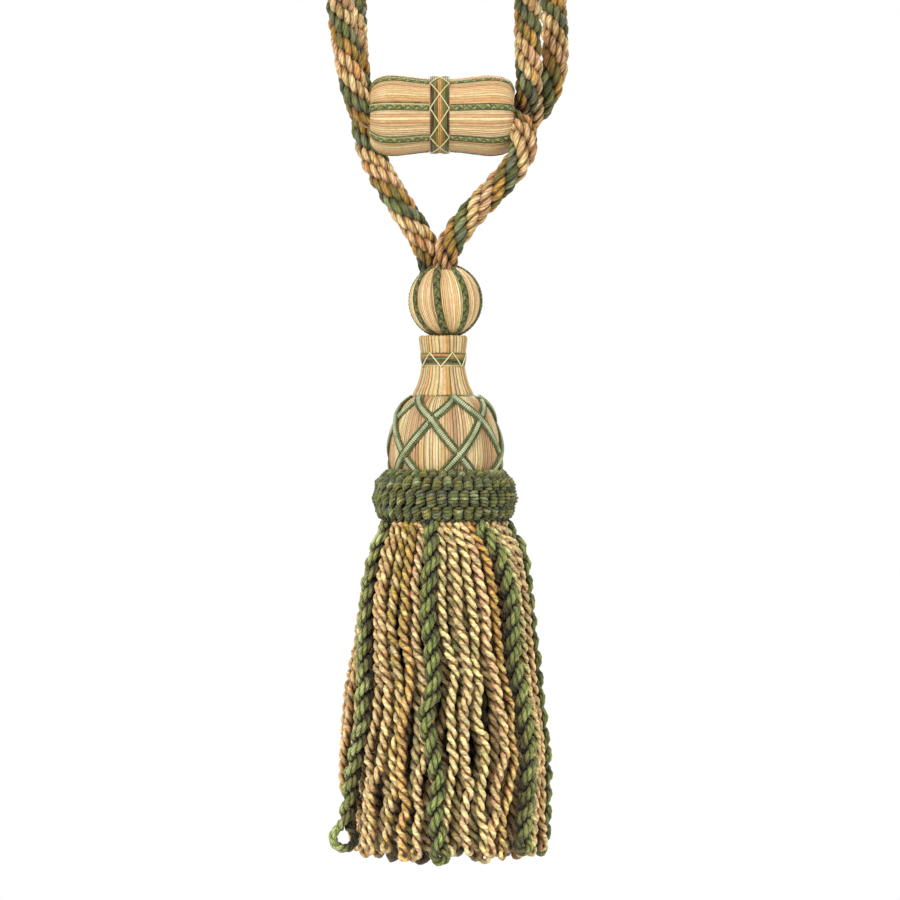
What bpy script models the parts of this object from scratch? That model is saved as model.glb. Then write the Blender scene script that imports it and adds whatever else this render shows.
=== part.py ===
"""Curtain tieback tassel: a hanging key tassel on a laid rope that runs through a thread-wound slide.

The tassel's own axis is Z. The origin lies on that axis, level with the underside of the two
hooking loops, so everything hangs below it. The front of the tassel faces -Y. Metres, +Z up.
"""
import math
from collections import namedtuple

import bmesh
import bpy
from mathutils import Matrix, Vector

MM = 0.001
GAP = 0.3 * MM  # clearance between pieces that touch

# Rope: four strands laid left-handed.
ROPE_DIAMETER = 11.5 * MM
ROPE_PITCH = 32 * MM  # length of one turn of the lay
STRAND_COUNT = 4
ROPE_SIDES = 2 * STRAND_COUNT  # a crest and a valley for each strand
ROPE_STEP = ROPE_PITCH / ROPE_SIDES  # the lay moves on by one side at each section
VALLEY_DEPTH = 1.2 * MM  # how deep the lay's valleys are

RoutePoint = namedtuple("RoutePoint", "x y z swell")  # millimetres, and the share of full thickness

MAIN_ROUTE = [RoutePoint(*row) for row in (
    # Out of the ball, up behind the slide's left end.
    (-5.4, 2.3, -140.6, 0.8),
    (-5.4, 2.5, -135.4, 0.84),
    (-7.2, 2.4, -130.0, 1.0),
    (-10.8, 1.6, -122.8, 1.0),
    (-16.0, 1.4, -114.8, 1.0),
    (-21.6, 2.6, -106.0, 1.0),
    (-26.2, 5.8, -98.0, 1.0),
    (-29.6, 10.0, -90.8, 1.0),
    (-31.8, 12.8, -83.6, 1.0),
    (-32.8, 13.4, -76.0, 1.0),
    (-34.0, 11.6, -68.0, 1.0),
    (-35.2, 8.8, -60.0, 1.0),
    # Left hooking loop, from its back leg over the crown to its front leg.
    (-36.0, 8.2, -53.0, 1.0),
    (-36.6, 10.6, -44.4, 1.0),
    (-37.0, 16.0, -36.1, 1.0),
    (-37.1, 20.9, -30.0, 1.0),
    (-37.3, 24.0, -18.3, 1.0),
    (-37.8, 20.8, -6.3, 1.0),
    (-38.4, 12.0, 2.5, 1.0),
    (-39.3, 0.0, 5.75, 1.0),
    (-40.2, -12.0, 2.5, 1.0),
    (-41.0, -20.8, -6.3, 1.0),
    (-41.5, -24.0, -18.3, 1.0),
    (-41.6, -20.9, -30.0, 1.0),
    (-41.2, -16.0, -36.1, 1.0),
    (-40.2, -10.6, -44.4, 1.0),
    (-38.8, -8.2, -53.0, 1.0),
    (-37.2, -7.6, -61.6, 1.0),
    (-35.4, -6.4, -69.2, 1.0),
    # Through the slide.
    (-32.4, -4.2, -74.4, 1.0),
    (-28.2, -1.8, -76.6, 1.0),
    (-22.0, -0.2, -76.2, 1.0),
    (-8.0, 0.0, -76.0, 1.0),
    (8.0, 0.0, -76.0, 1.0),
    (18.0, -1.2, -76.6, 1.0),
    # Over the right shoulder and down into the ball.
    (25.6, -4.2, -78.6, 1.0),
    (29.0, -6.7, -80.7, 1.0),
    (31.1, -9.2, -84.0, 1.0),
    (31.5, -10.8, -88.2, 1.0),
    (30.0, -10.8, -93.4, 1.0),
    (25.8, -8.8, -99.8, 1.0),
    (19.0, -5.8, -107.8, 1.0),
    (11.8, -3.6, -116.4, 1.0),
    (6.6, -2.7, -124.4, 1.0),
    (4.2, -2.6, -130.4, 1.0),
    (3.9, -2.5, -135.8, 0.84),
    (3.2, -2.3, -140.6, 0.8),
)]
BALL_WAYS = (slice(0, 4), slice(-4, None))  # stretches of the main route that enter the ball
SLIDE_WAY = slice(27, 41)  # the stretch that runs through the slide
BACK_WAY = slice(6, 12)  # the stretch that passes behind the slide's left end

RIGHT_ROUTE = [RoutePoint(*row) for row in (
    # Out of the slide's right end and up the front leg.
    (25.4, 4.9, -74.8, 0.6),
    (28.9, 4.8, -74.0, 0.68),
    (32.0, 3.2, -71.0, 0.84),
    (33.4, 0.2, -66.0, 0.97),
    (33.6, -3.4, -60.0, 1.0),
    (33.2, -6.8, -53.6, 1.0),
    # Right hooking loop.
    (32.9, -10.2, -44.6, 1.0),
    (32.7, -15.4, -36.1, 1.0),
    (32.6, -20.3, -30.0, 1.0),
    (32.5, -23.3, -18.3, 1.0),
    (33.3, -20.2, -6.3, 1.0),
    (35.3, -11.7, 2.5, 1.0),
    (38.1, 0.0, 5.75, 1.0),
    (40.9, 11.7, 2.5, 1.0),
    (42.9, 20.2, -6.3, 1.0),
    (43.7, 23.3, -18.3, 1.0),
    (43.9, 20.3, -30.0, 1.0),
    (44.1, 15.4, -36.1, 1.0),
    # Down the back leg to the slide's end.
    (44.3, 10.6, -44.6, 1.0),
    (44.2, 8.6, -53.0, 1.0),
    (43.0, 9.0, -61.0, 1.0),
    (39.8, 11.0, -68.4, 1.0),
    (35.6, 13.2, -74.6, 0.97),
    (31.0, 13.6, -78.8, 0.84),
    (27.6, 12.4, -80.2, 0.68),
    (25.0, 11.6, -80.5, 0.6),
)]
RIGHT_WAYS = (slice(0, 4), slice(-5, None))  # stretches of the right route at the slide's end

# Thread-wound pieces: each row is a place along the piece's axis, the radius there and how far
# the laid-on braids stand up, all in millimetres.
Turned = namedtuple("Turned", "along radius braid")

SLIDE_CENTRE = Vector((-1.2, 0, -76.0)) * MM
SLIDE_BRAIDS = 7
SLIDE_BRAID_TURN = 6  # degrees above the front
SLIDE_BRAID_HALF = 7  # degrees to each side of a braid's middle
SLIDE_ROWS = [Turned(*row) for row in (
    (28.4, 10.6, 0.0),
    (27.6, 12.9, 0.3),
    (25.6, 14.6, 0.5),
    (22.4, 15.5, 0.5),
    (18.4, 15.7, 0.5),
    (13.0, 15.1, 0.5),
    (7.0, 14.4, 0.5),
    (4.0, 14.1, 0.0),
    (-4.2, 14.1, 0.0),
    (-7.4, 14.4, 0.5),
    (-13.0, 15.1, 0.5),
    (-18.4, 15.7, 0.5),
    (-22.4, 15.5, 0.5),
    (-25.6, 14.5, 0.5),
    (-27.6, 12.8, 0.3),
    (-28.4, 10.6, 0.0),
)]
SLIDE_WAIST = 14.4 * MM  # widest radius under the band
SLIDE_BAND_WIDTH = 7.4 * MM
SLIDE_BAND_RADIUS = 15.5 * MM
SLIDE_BAND_OFFSET = -0.9 * MM  # from the slide's centre

BALL_CENTRE = Vector((0.2, 0, -150.4)) * MM
BALL_RADIUS = 14.6 * MM
BALL_TILT = -7  # degrees about Y: the top leans left
BALL_BRAIDS = 8
BALL_BRAID_TURN = -12  # degrees from the front, towards the right
BALL_BRAID_HALF = 9  # degrees to each side of a braid's middle
BALL_BRAID_HEIGHT = 0.5 * MM
BALL_TOP = 84  # degrees above the middle where the ball's crown is closed
BALL_FLAT = 66  # degrees below the middle where the ball is flattened on the neck
BALL_ROWS = 12

NECK_X = -0.7 * MM
NECK_ROWS = [Turned(*row) for row in (
    (-164.7, 9.0, 0),
    (-165.2, 9.2, 0),
    (-168.0, 8.8, 0),
    (-170.8, 8.4, 0),
    (-171.1, 7.4, 0),
    (-176.9, 7.4, 0),
    (-177.2, 7.8, 0),
    (-180.0, 8.4, 0),
    (-184.0, 9.8, 0),
    (-187.4, 11.5, 0),
    (-188.1, 11.4, 0),
)]
NECK_WAIST = 7.4 * MM
NECK_BAND_TOP = -171.4 * MM
NECK_BAND_BOTTOM = -176.6 * MM
NECK_BAND_RADIUS = 8.6 * MM

DOME_X = 0.1 * MM
DOME_ROWS = [Turned(*row) for row in (
    (-188.5, 10.6, 0),
    (-189.3, 13.0, 0),
    (-191.6, 15.8, 0),
    (-194.4, 17.7, 0),
    (-197.6, 19.2, 0),
    (-202.0, 20.6, 0),
    (-207.6, 21.7, 0),
    (-212.0, 22.1, 0),
    (-215.4, 21.9, 0),
    (-218.4, 21.0, 0),
    (-221.4, 19.6, 0),
    (-226.0, 18.0, 0),
    (-238.6, 17.0, 0),
)]

# Gimp lattice on the dome: six lines each way, which cross at these heights.
Crossing = namedtuple("Crossing", "height turn")  # millimetres, and degrees gone round
LATTICE_CROSSINGS = [Crossing(*row) for row in (
    (-190.0, 0),
    (-197.9, 30),
    (-212.6, 60),
    (-217.8, 72),
)]
LATTICE_LINES = 6
LATTICE_START = 14  # degrees from the front, towards the right
LATTICE_WIDTH = 4.8 * MM
LATTICE_THICK = {"over": 1.5 * MM, "under": 1.2 * MM}
LATTICE_LIFT = {"over": 0.9 * MM, "under": 0.8 * MM}
LATTICE_STEPS = 11
LATTICE_CROWN = 0.7  # width of a line's top, as a share of its foot
SLOPE_REACH = 1.2 * MM  # the dome's slope is measured over this far up and down

# Ruff: the knotted ring under the dome. Knobs stand on the rows marked so.
RuffRow = namedtuple("RuffRow", "height radius knob")
RUFF_COLUMNS = 39
RUFF_KNOB = 1.2 * MM
RUFF_HEART = Vector((24, -229)) * MM  # radius and height of the section's middle
RUFF_ROWS = [RuffRow(*row) for row in (
    (-219.8, 24.1, 0),
    (-219.0, 25.0, 1),
    (-219.5, 26.1, 0),
    (-220.9, 26.9, 1),
    (-222.6, 27.4, 0),
    (-225.0, 28.0, 1),
    (-227.4, 27.8, 0),
    (-230.0, 28.0, 1),
    (-232.4, 27.5, 0),
    (-235.0, 27.2, 1),
    (-237.2, 25.8, 0),
    (-238.3, 24.0, 1),
    (-238.9, 20.0, 0),
    (-226.0, 20.0, 0),
)]

# Skirt: how far the cords reach to the left and right of the axis at each height, millimetres.
SkirtRow = namedtuple("SkirtRow", "height left right")
SKIRT_ROWS = [SkirtRow(*row) for row in (
    (-241.0, 26.0, 27.0),
    (-250.0, 30.0, 32.4),
    (-264.0, 33.6, 34.2),
    (-286.0, 36.2, 35.8),
    (-308.0, 41.0, 38.2),
    (-330.0, 42.6, 41.2),
    (-352.0, 41.6, 41.6),
    (-371.0, 41.4, 41.2),
)]
SKIRT_SECTORS = 48  # cord places round the outer row
GREEN_EVERY = 6  # one place in this many holds a thick green cord
GREEN_COUNT = SKIRT_SECTORS // GREEN_EVERY
GREEN_TURN = -103  # degrees from the +X side, anticlockwise from above: the first green cord
SKIRT_TOP = -239.5 * MM
SKIRT_UNDER = -241.0 * MM
SKIRT_BOTTOM = -368.5 * MM
SKIRT_UNEVEN = 2.6 * MM  # how far cord ends differ in length
UNEVEN_LONG, UNEVEN_SHORT = 1.1, 2.4  # radians that the unevenness's two waves go on at each cord
BULLION_WIDTH = 4.1 * MM
GREEN_WIDTH = 5.6 * MM
GREEN_PROUD = 2.2 * MM  # how far the green cords stand outside the others
CORD_LEAST = 2.4 * MM  # width of a cord where they crowd most
CORD_LEAN = 0.35  # how far a cord's square section is turned, as a share of its half width
CORD_TIP = 0.5  # size of a cord's end, as a share of its section
CORD_LEVELS = (0.06, 0.18, 0.30, 0.42, 0.56, 0.70, 0.86, 1.0)  # shares of its length where a cord bends

# How many degrees each green cord has moved round the skirt at each height, millimetres. The cords
# between two green ones go along with them.
Drift = namedtuple("Drift", "height front right far_right back_right back back_left far_left left")
SKIRT_DRIFT = [Drift(*row) for row in (
    (-241, 0, 0, 0, 0, 0, 0, 0, 0),
    (-250, 3, 8, 4, 2, 2, 0, -3, -9),
    (-264, 1, 15, 8, 4, 4, 1, -4, -9),
    (-280, 2, 19, 11, 6, 5, 1, -4, -7),
    (-294, 6, 18, 12, 7, 6, 1, -4, 1),
    (-303, 8, 20, 13, 8, 6, 2, -4, 6),
    (-318, 5, 22, 14, 9, 7, 2, -4, 4),
    (-330, 8, 22, 14, 9, 7, 2, -5, 0),
    (-344, 8, 17, 13, 9, 7, 2, -5, -6),
    (-356, 7, 14, 12, 9, 7, 2, -6, -8),
    (-369, 9, 15, 12, 9, 7, 2, -6, -8),
)]

# Rows of bullion cords, from the outside in: radii of the row's root on the backing, its share of
# the skirt's radius further down, and how many places lie between two cords of the row.
CordRow = namedtuple("CordRow", "root_inner root_outer share every")
CORD_ROWS = [CordRow(*row) for row in (
    (22.6, 25.2, 1.0, 1),
    (15.0, 18.6, 0.8, 2),
)]
BACKING_HOLE = 12.0 * MM
GREEN_RING_INNER = 25.7 * MM
GREEN_RING_OUTER = 27.6 * MM

# The green cord at the front left ends in an open loop.
LOOP_RADIUS = 4.2 * MM
LOOP_WIDTH = 3.6 * MM
LOOP_SWEEP = 300  # degrees that the loop goes round
LOOP_DROP = 5.0 * MM  # from the cord's end down to the loop's middle
LOOP_TURNS = 10
LOOP_CORD = 7

Paint = namedtuple("Paint", "red green blue rough")
PAINTS = {
    "rope": Paint(0.52, 0.38, 0.20, 0.75),
    "silk": Paint(0.72, 0.52, 0.28, 0.55),
    "band": Paint(0.16, 0.13, 0.05, 0.6),
    "gimp": Paint(0.26, 0.32, 0.15, 0.6),
    "ruff": Paint(0.09, 0.11, 0.04, 0.85),
    "bullion": Paint(0.45, 0.30, 0.14, 0.8),
    "green_cord": Paint(0.10, 0.15, 0.05, 0.75),
}


# ---------------------------------------------------------------- objects and materials

def clear_scene():
    """Remove what the scene holds."""
    for obj in list(bpy.data.objects):
        bpy.data.objects.remove(obj, do_unlink=True)


def new_collection(name):
    """Make a collection in the scene."""
    collection = bpy.data.collections.new(name)
    bpy.context.scene.collection.children.link(collection)
    return collection


def make_material(name, paint):
    """Make a plain finish from the piece's colour and roughness."""
    material = bpy.data.materials.new(name)
    material.use_nodes = True
    shader = material.node_tree.nodes["Principled BSDF"]
    shader.inputs["Base Color"].default_value = (paint.red, paint.green, paint.blue, 1)
    shader.inputs["Roughness"].default_value = paint.rough
    shader.inputs["Metallic"].default_value = 0
    return material


def add_object(name, data, collection, material=None):
    """Put mesh or curve data in the scene as a named object."""
    obj = bpy.data.objects.new(name, data)
    collection.objects.link(obj)
    if material:
        data.materials.append(material)
    return obj


def finish_mesh(bm, name, collection, material):
    """Merge, orient and smooth a bmesh, and put it in the scene."""
    bmesh.ops.remove_doubles(bm, verts=bm.verts, dist=0.01 * MM)
    bmesh.ops.recalc_face_normals(bm, faces=bm.faces)
    mesh = bpy.data.meshes.new(name)
    bm.to_mesh(mesh)
    bm.free()
    mesh.shade_smooth()
    mesh.set_sharp_from_angle(angle=math.radians(40))
    return add_object(name, mesh, collection, material)


def hide_helper(obj):
    """Mark an object as a cutter or a guide, which isn't part of the tassel."""
    obj.hide_render = True
    obj.display_type = "WIRE"


def to_mesh_object(obj, collection):
    """Turn a curve object into a welded mesh object of the same name."""
    depsgraph = bpy.context.evaluated_depsgraph_get()
    mesh = bpy.data.meshes.new_from_object(obj.evaluated_get(depsgraph))
    bm = bmesh.new()
    bm.from_mesh(mesh)
    bmesh.ops.remove_doubles(bm, verts=bm.verts, dist=0.01 * MM)
    bmesh.ops.recalc_face_normals(bm, faces=bm.faces)
    bm.to_mesh(mesh)
    bm.free()
    name = obj.name
    place = obj.matrix_world.copy()
    bpy.data.objects.remove(obj, do_unlink=True)
    solid = add_object(name, mesh, collection)
    solid.matrix_world = place
    return solid


def cut(obj, cutter, operation="DIFFERENCE"):
    """Cut a piece with another solid, or join the two."""
    modifier = obj.modifiers.new(cutter.name, "BOOLEAN")
    modifier.operation = operation
    modifier.solver = "EXACT"
    modifier.object = cutter


# ---------------------------------------------------------------- ropes

def smooth_route(route, step):
    """Resample a smooth curve through hand-set points at an even step.

    Returns a list of (place, swell, distance along the rope).
    """
    places = [Vector((row.x, row.y, row.z)) * MM for row in route]
    swells = [row.swell for row in route]
    fine = []
    for i in range(len(places) - 1):
        before = places[max(i - 1, 0)]
        start, end = places[i], places[i + 1]
        after = places[min(i + 2, len(places) - 1)]
        pieces = 24
        for k in range(pieces):
            t = k / pieces
            leave = (end - before) / 2
            reach = (after - start) / 2
            place = (
                (2 * t**3 - 3 * t**2 + 1) * start + (t**3 - 2 * t**2 + t) * leave
                + (3 * t**2 - 2 * t**3) * end + (t**3 - t**2) * reach
            )
            fine.append((place, swells[i] + (swells[i + 1] - swells[i]) * t))
    fine.append((places[-1], swells[-1]))
    gone = [0.0]
    for a, b in zip(fine, fine[1:]):
        gone.append(gone[-1] + (b[0] - a[0]).length)
    count = round(gone[-1] / step)
    samples = []
    k = 0
    for i in range(count + 1):
        target = gone[-1] * i / count
        while k < len(fine) - 2 and gone[k + 1] < target:
            k += 1
        share = (target - gone[k]) / (gone[k + 1] - gone[k])
        place = fine[k][0].lerp(fine[k + 1][0], share)
        swell = fine[k][1] + (fine[k + 1][1] - fine[k][1]) * share
        samples.append((place, swell, target))
    return samples


def rope_sections(route):
    """Corners of the rope's sections: crests and valleys that move on by one side at each step."""
    samples = smooth_route(route, ROPE_STEP)
    sections = []
    normal = None
    for i, (place, swell, _) in enumerate(samples):
        ahead = samples[min(i + 1, len(samples) - 1)][0]
        behind = samples[max(i - 1, 0)][0]
        along = (ahead - behind).normalized()
        if normal is None:
            normal = along.orthogonal()
        normal = (normal - along * normal.dot(along)).normalized()
        across = along.cross(normal)
        corners = []
        for k in range(ROPE_SIDES):
            angle = 2 * math.pi * k / ROPE_SIDES
            valley = VALLEY_DEPTH if (k + i) % 2 else 0
            radius = (ROPE_DIAMETER / 2 - valley) * swell
            corners.append(place + (normal * math.cos(angle) + across * math.sin(angle)) * radius)
        sections.append(corners)
    return sections


def make_rope(name, route, collection, material):
    """Make a laid rope along a route."""
    bm = bmesh.new()
    rings = loft(bm, rope_sections(route))
    for ring_a, ring_b in zip(rings, rings[1:]):
        for k, vert in enumerate(ring_b):
            neighbour = ring_a[(k + 1) % ROPE_SIDES]
            bmesh.ops.connect_vert_pair(bm, verts=[vert, neighbour])
    return finish_mesh(bm, name, collection, material)


def rope_cutter(name, route, collection):
    """Make a plain tube a little fatter and longer than the rope, which clears its way."""
    curve = bpy.data.curves.new(name, "CURVE")
    curve.dimensions = "3D"
    curve.use_fill_caps = True
    curve.bevel_depth = ROPE_DIAMETER / 2 + GAP
    curve.bevel_resolution = 3
    samples = smooth_route(route, ROPE_STEP)
    places = [place for place, _, _ in samples]
    places[0] += (places[0] - places[1]).normalized() * 2 * GAP
    places[-1] += (places[-1] - places[-2]).normalized() * 2 * GAP
    spline = curve.splines.new("POLY")
    spline.points.add(len(places) - 1)
    for point, place, (_, swell, _) in zip(spline.points, places, samples):
        point.co = (*place, 1)
        point.radius = swell
    cutter = to_mesh_object(add_object(name, curve, collection), collection)
    hide_helper(cutter)
    return cutter


# ---------------------------------------------------------------- turned pieces

def turned(name, rows, collection, material, columns=32, hollow=None):
    """Turn a profile round Z with a Screw. A hollow piece is a ring with that inner radius."""
    bm = bmesh.new()
    points = [(row.radius * MM, row.along * MM) for row in rows]
    inner = hollow or 0
    points = [(inner, points[0][1])] + points + [(inner, points[-1][1])]
    verts = [bm.verts.new((radius, 0, height)) for radius, height in points]
    for a, b in zip(verts, verts[1:]):
        bm.edges.new((a, b))
    if hollow:
        bm.edges.new((verts[-1], verts[0]))
    mesh = bpy.data.meshes.new(name)
    bm.to_mesh(mesh)
    bm.free()
    obj = add_object(name, mesh, collection, material)
    screw = obj.modifiers.new("Turn", "SCREW")
    screw.steps = columns
    screw.render_steps = columns
    screw.use_merge_vertices = True
    screw.merge_threshold = 0.01 * MM
    screw.use_smooth_shade = True
    return obj


def braid_columns(count, first, half_width):
    """Angles and heights of the columns round a piece with raised braids, in radians."""
    pitch = 2 * math.pi / count
    columns = []
    for k in range(count):
        centre = first + k * pitch
        rest = pitch - 2 * half_width
        columns += [
            (centre - half_width, 0),
            (centre, 1),
            (centre + half_width, 0),
            (centre + half_width + rest / 3, 0),
            (centre + half_width + rest * 2 / 3, 0),
        ]
    return columns


def braided(name, rows, columns, collection, material):
    """Spin a profile round Z and raise its braids in the points of their columns."""
    bm = bmesh.new()
    profile = [(0, rows[0].along)] + [(row.radius, row.along) for row in rows] + [(0, rows[-1].along)]
    verts = [bm.verts.new((radius * MM, 0, along * MM)) for radius, along in profile]
    edges = [bm.edges.new(pair) for pair in zip(verts, verts[1:])]
    bmesh.ops.spin(
        bm, geom=verts + edges, cent=(0, 0, 0), axis=(0, 0, 1), angle=2 * math.pi,
        steps=len(columns), use_merge=True,
    )
    heights = {round(row.along * 100): row.braid * MM for row in rows}
    for vert in bm.verts:
        radius = math.hypot(vert.co.x, vert.co.y)
        if radius < 0.01 * MM:
            continue
        column = round(math.atan2(vert.co.y, vert.co.x) / (2 * math.pi) * len(columns))
        angle, raised = columns[column % len(columns)]
        radius += raised * heights[round(vert.co.z / MM * 100)]
        vert.co.x = radius * math.cos(angle)
        vert.co.y = radius * math.sin(angle)
    return finish_mesh(bm, name, collection, material)


def ring(name, top, bottom, inner, outer, collection, material, columns=28):
    """Make a flat band round Z with softened edges."""
    soft = (outer - inner) * 0.35
    rows = [
        Turned(top / MM, (outer - soft) / MM, 0),
        Turned((top - soft) / MM, outer / MM, 0),
        Turned((bottom + soft) / MM, outer / MM, 0),
        Turned(bottom / MM, (outer - soft) / MM, 0),
    ]
    return turned(name, rows, collection, material, columns, hollow=inner)


def make_slide(collection, material, cutters):
    """Make the thread-wound slide, cut clear of the ropes that pass it."""
    columns = braid_columns(
        SLIDE_BRAIDS, math.radians(SLIDE_BRAID_TURN - 180), math.radians(SLIDE_BRAID_HALF),
    )
    slide = braided("slide", SLIDE_ROWS, columns, collection, material)
    lay_along_x(slide)
    for cutter in cutters:
        cut(slide, cutter)
    return slide


def lay_along_x(obj):
    """Lay a piece that was turned round Z along the slide's axis, its top end to the right."""
    turn = Matrix(((0, 0, 1, 0), (1, 0, 0, 0), (0, 1, 0, 0), (0, 0, 0, 1)))
    obj.matrix_world = Matrix.Translation(SLIDE_CENTRE) @ turn


def make_ball(collection, material, cutters):
    """Make the braided ball, flat where it sits on the neck."""
    rows = []
    low = -math.radians(BALL_FLAT)
    high = math.radians(BALL_TOP)
    for i in range(BALL_ROWS + 1):
        angle = high + (low - high) * i / BALL_ROWS
        ends = i in (0, BALL_ROWS)
        rows.append(Turned(
            BALL_RADIUS / MM * math.sin(angle), BALL_RADIUS / MM * math.cos(angle),
            0 if ends else BALL_BRAID_HEIGHT / MM,
        ))
    columns = braid_columns(
        BALL_BRAIDS, math.radians(BALL_BRAID_TURN - 90), math.radians(BALL_BRAID_HALF),
    )
    ball = braided("ball", rows, columns, collection, material)
    ball.location = BALL_CENTRE
    ball.rotation_euler.y = math.radians(BALL_TILT)
    for cutter in cutters:
        cut(ball, cutter)
    return ball


# ---------------------------------------------------------------- gimp lattice

def table_value(rows, height, column):
    """Read a column of a table between its rows, by height from the top down."""
    for above, below in zip(rows, rows[1:]):
        if height >= below[0] or below is rows[-1]:
            share = (above[0] - height) / (above[0] - below[0])
            share = min(max(share, 0), 1)
            return above[column] + (below[column] - above[column]) * share
    return rows[0][column]


def dome_place(height, angle, lift):
    """Point over the dome at a height in metres, and the surface's outward direction there."""
    radius = table_value(DOME_ROWS, height / MM, 1) * MM
    upper = table_value(DOME_ROWS, (height + SLOPE_REACH) / MM, 1) * MM
    lower = table_value(DOME_ROWS, (height - SLOPE_REACH) / MM, 1) * MM
    slope = (upper - lower) / (2 * SLOPE_REACH)
    out = Vector((math.cos(angle), math.sin(angle), 0))
    normal = Vector((out.x, out.y, -slope)).normalized()
    return Vector((DOME_X, 0, height)) + out * radius + normal * lift, normal


def gimp_family(name, side, hand, collection, material):
    """Make the lattice's lines of one hand as flat cords over the dome."""
    bm = bmesh.new()
    lift = LATTICE_LIFT[side]
    thick = LATTICE_THICK[side]
    high = LATTICE_CROSSINGS[0].height * MM
    low = LATTICE_CROSSINGS[-1].height * MM
    for line in range(LATTICE_LINES):
        first = LATTICE_START + line * 360 / LATTICE_LINES - 90
        places = []
        for i in range(LATTICE_STEPS + 1):
            height = high + (low - high) * i / LATTICE_STEPS
            turn = table_value(LATTICE_CROSSINGS, height / MM, 1)
            places.append(dome_place(height, math.radians(first + hand * turn), lift))
        sections = []
        for i, (place, normal) in enumerate(places):
            ahead = places[min(i + 1, LATTICE_STEPS)][0]
            behind = places[max(i - 1, 0)][0]
            across = normal.cross((ahead - behind).normalized()).normalized() * LATTICE_WIDTH / 2
            crown = normal * thick
            top = across * LATTICE_CROWN
            sections.append([place - across, place + across, place + top + crown, place - top + crown])
        loft(bm, sections)
    return finish_mesh(bm, name, collection, material)


def loft(bm, sections):
    """Join sections into one closed bar, and return its rings of points."""
    rings = [[bm.verts.new(corner) for corner in sections[0]]]
    face = bm.faces.new(rings[0])
    for section in sections[1:]:
        face = grow(bm, face, [section])
        rings.append(list(face.verts))
    bm.faces.new(reversed(rings[0]))
    return rings


def grow(bm, face, sections):
    """Extrude a face through a row of sections, which each give its corners."""
    for section in sections:
        face = bmesh.ops.extrude_discrete_faces(bm, faces=[face])["faces"][0]
        for vert, corner in zip(face.verts, section):
            vert.co = corner
    return face


def make_lattice(collection, cutters, material):
    """Make the sewn-on lattice: the lines of both hands joined where they cross."""
    lattice = gimp_family("dome_lattice", "over", 1, collection, material)
    under = gimp_family("lattice_under", "under", -1, cutters, None)
    hide_helper(under)
    cut(lattice, under, "UNION")
    return lattice


# ---------------------------------------------------------------- ruff

def make_ruff(collection, material):
    """Make the knotted ring, its knobs raised in every second column of every second row."""
    bm = bmesh.new()
    columns = RUFF_COLUMNS * 2
    verts = [bm.verts.new((row.radius * MM, 0, row.height * MM)) for row in RUFF_ROWS]
    edges = [bm.edges.new((a, b)) for a, b in zip(verts, verts[1:] + verts[:1])]
    bmesh.ops.spin(
        bm, geom=verts + edges, cent=(0, 0, 0), axis=(0, 0, 1), angle=2 * math.pi,
        steps=columns, use_merge=True,
    )
    knobs = {(round(row.radius * 100), round(row.height * 100)): row.knob for row in RUFF_ROWS}
    for vert in bm.verts:
        radius = math.hypot(vert.co.x, vert.co.y)
        key = (round(radius / MM * 100), round(vert.co.z / MM * 100))
        angle = math.atan2(vert.co.y, vert.co.x)
        column = round(angle / (2 * math.pi) * columns) % columns
        if knobs[key] and column % 2 == 0:
            out = (Vector((radius, vert.co.z)) - RUFF_HEART).normalized() * RUFF_KNOB
            vert.co.x = (radius + out.x) * math.cos(angle)
            vert.co.y = (radius + out.x) * math.sin(angle)
            vert.co.z += out.y
    return finish_mesh(bm, "ruff", collection, material)


# ---------------------------------------------------------------- skirt

def skirt_radius(height, angle):
    """Outer radius of the skirt at a height in metres, round the axis."""
    left = table_value(SKIRT_ROWS, height / MM, 1) * MM
    right = table_value(SKIRT_ROWS, height / MM, 2) * MM
    return (left + right) / 2 + (right - left) / 2 * math.cos(angle)


def sway(angle, height):
    """How far a cord has moved round the axis, in radians: it goes along with the green cords."""
    spot = (angle - math.radians(GREEN_TURN)) / (2 * math.pi) * GREEN_COUNT
    first = math.floor(spot)
    share = spot - first
    before = table_value(SKIRT_DRIFT, height / MM, 1 + first % GREEN_COUNT)
    after = table_value(SKIRT_DRIFT, height / MM, 1 + (first + 1) % GREEN_COUNT)
    return math.radians(before + (after - before) * share)


def cord_bottom(place):
    """Height of a cord's end, uneven from cord to cord."""
    return SKIRT_BOTTOM + SKIRT_UNEVEN * math.sin(UNEVEN_SHORT * place) * math.cos(UNEVEN_LONG * place)


def cord_section(angle, height, share, width, proud):
    """Corners of a hanging cord's square section at a height."""
    moved = sway(angle, height)
    turned_to = angle + moved
    reach = (skirt_radius(height, turned_to) - width / 2) * share + proud
    out = Vector((math.cos(turned_to), math.sin(turned_to), 0))
    side = Vector((-out.y, out.x, 0))
    sector = 2 * math.pi / SKIRT_SECTORS
    spread = min(sway(angle + sector, height) - moved, moved - sway(angle - sector, height))
    pitch = reach * (sector + spread)
    neighbour = min(BULLION_WIDTH, pitch - 3 * GAP)
    room = 2 * pitch - neighbour - 4 * GAP if proud else neighbour
    half = max(min(width, room), CORD_LEAST) / 2
    centre = out * reach + Vector((0, 0, height))
    ahead = (out - side * CORD_LEAN) * half
    beside = (side + out * CORD_LEAN) * half
    return [centre + ahead, centre - beside, centre - ahead, centre + beside]


def match_corners(face, section):
    """Turn a section's corner order so that it grows out of a face without twisting."""
    corners = [vert.co for vert in face.verts]
    best = None
    for order in (section, section[::-1]):
        for shift in range(4):
            trial = order[shift:] + order[:shift]
            miss = sum((a - b).length for a, b in zip(corners, trial))
            if best is None or miss < best[0]:
                best = (miss, trial, order is not section, shift)
    return best[2], best[3]


def turn_order(section, flipped, shift):
    """Reorder a section's corners."""
    order = section[::-1] if flipped else section
    return order[shift:] + order[:shift]


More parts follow.
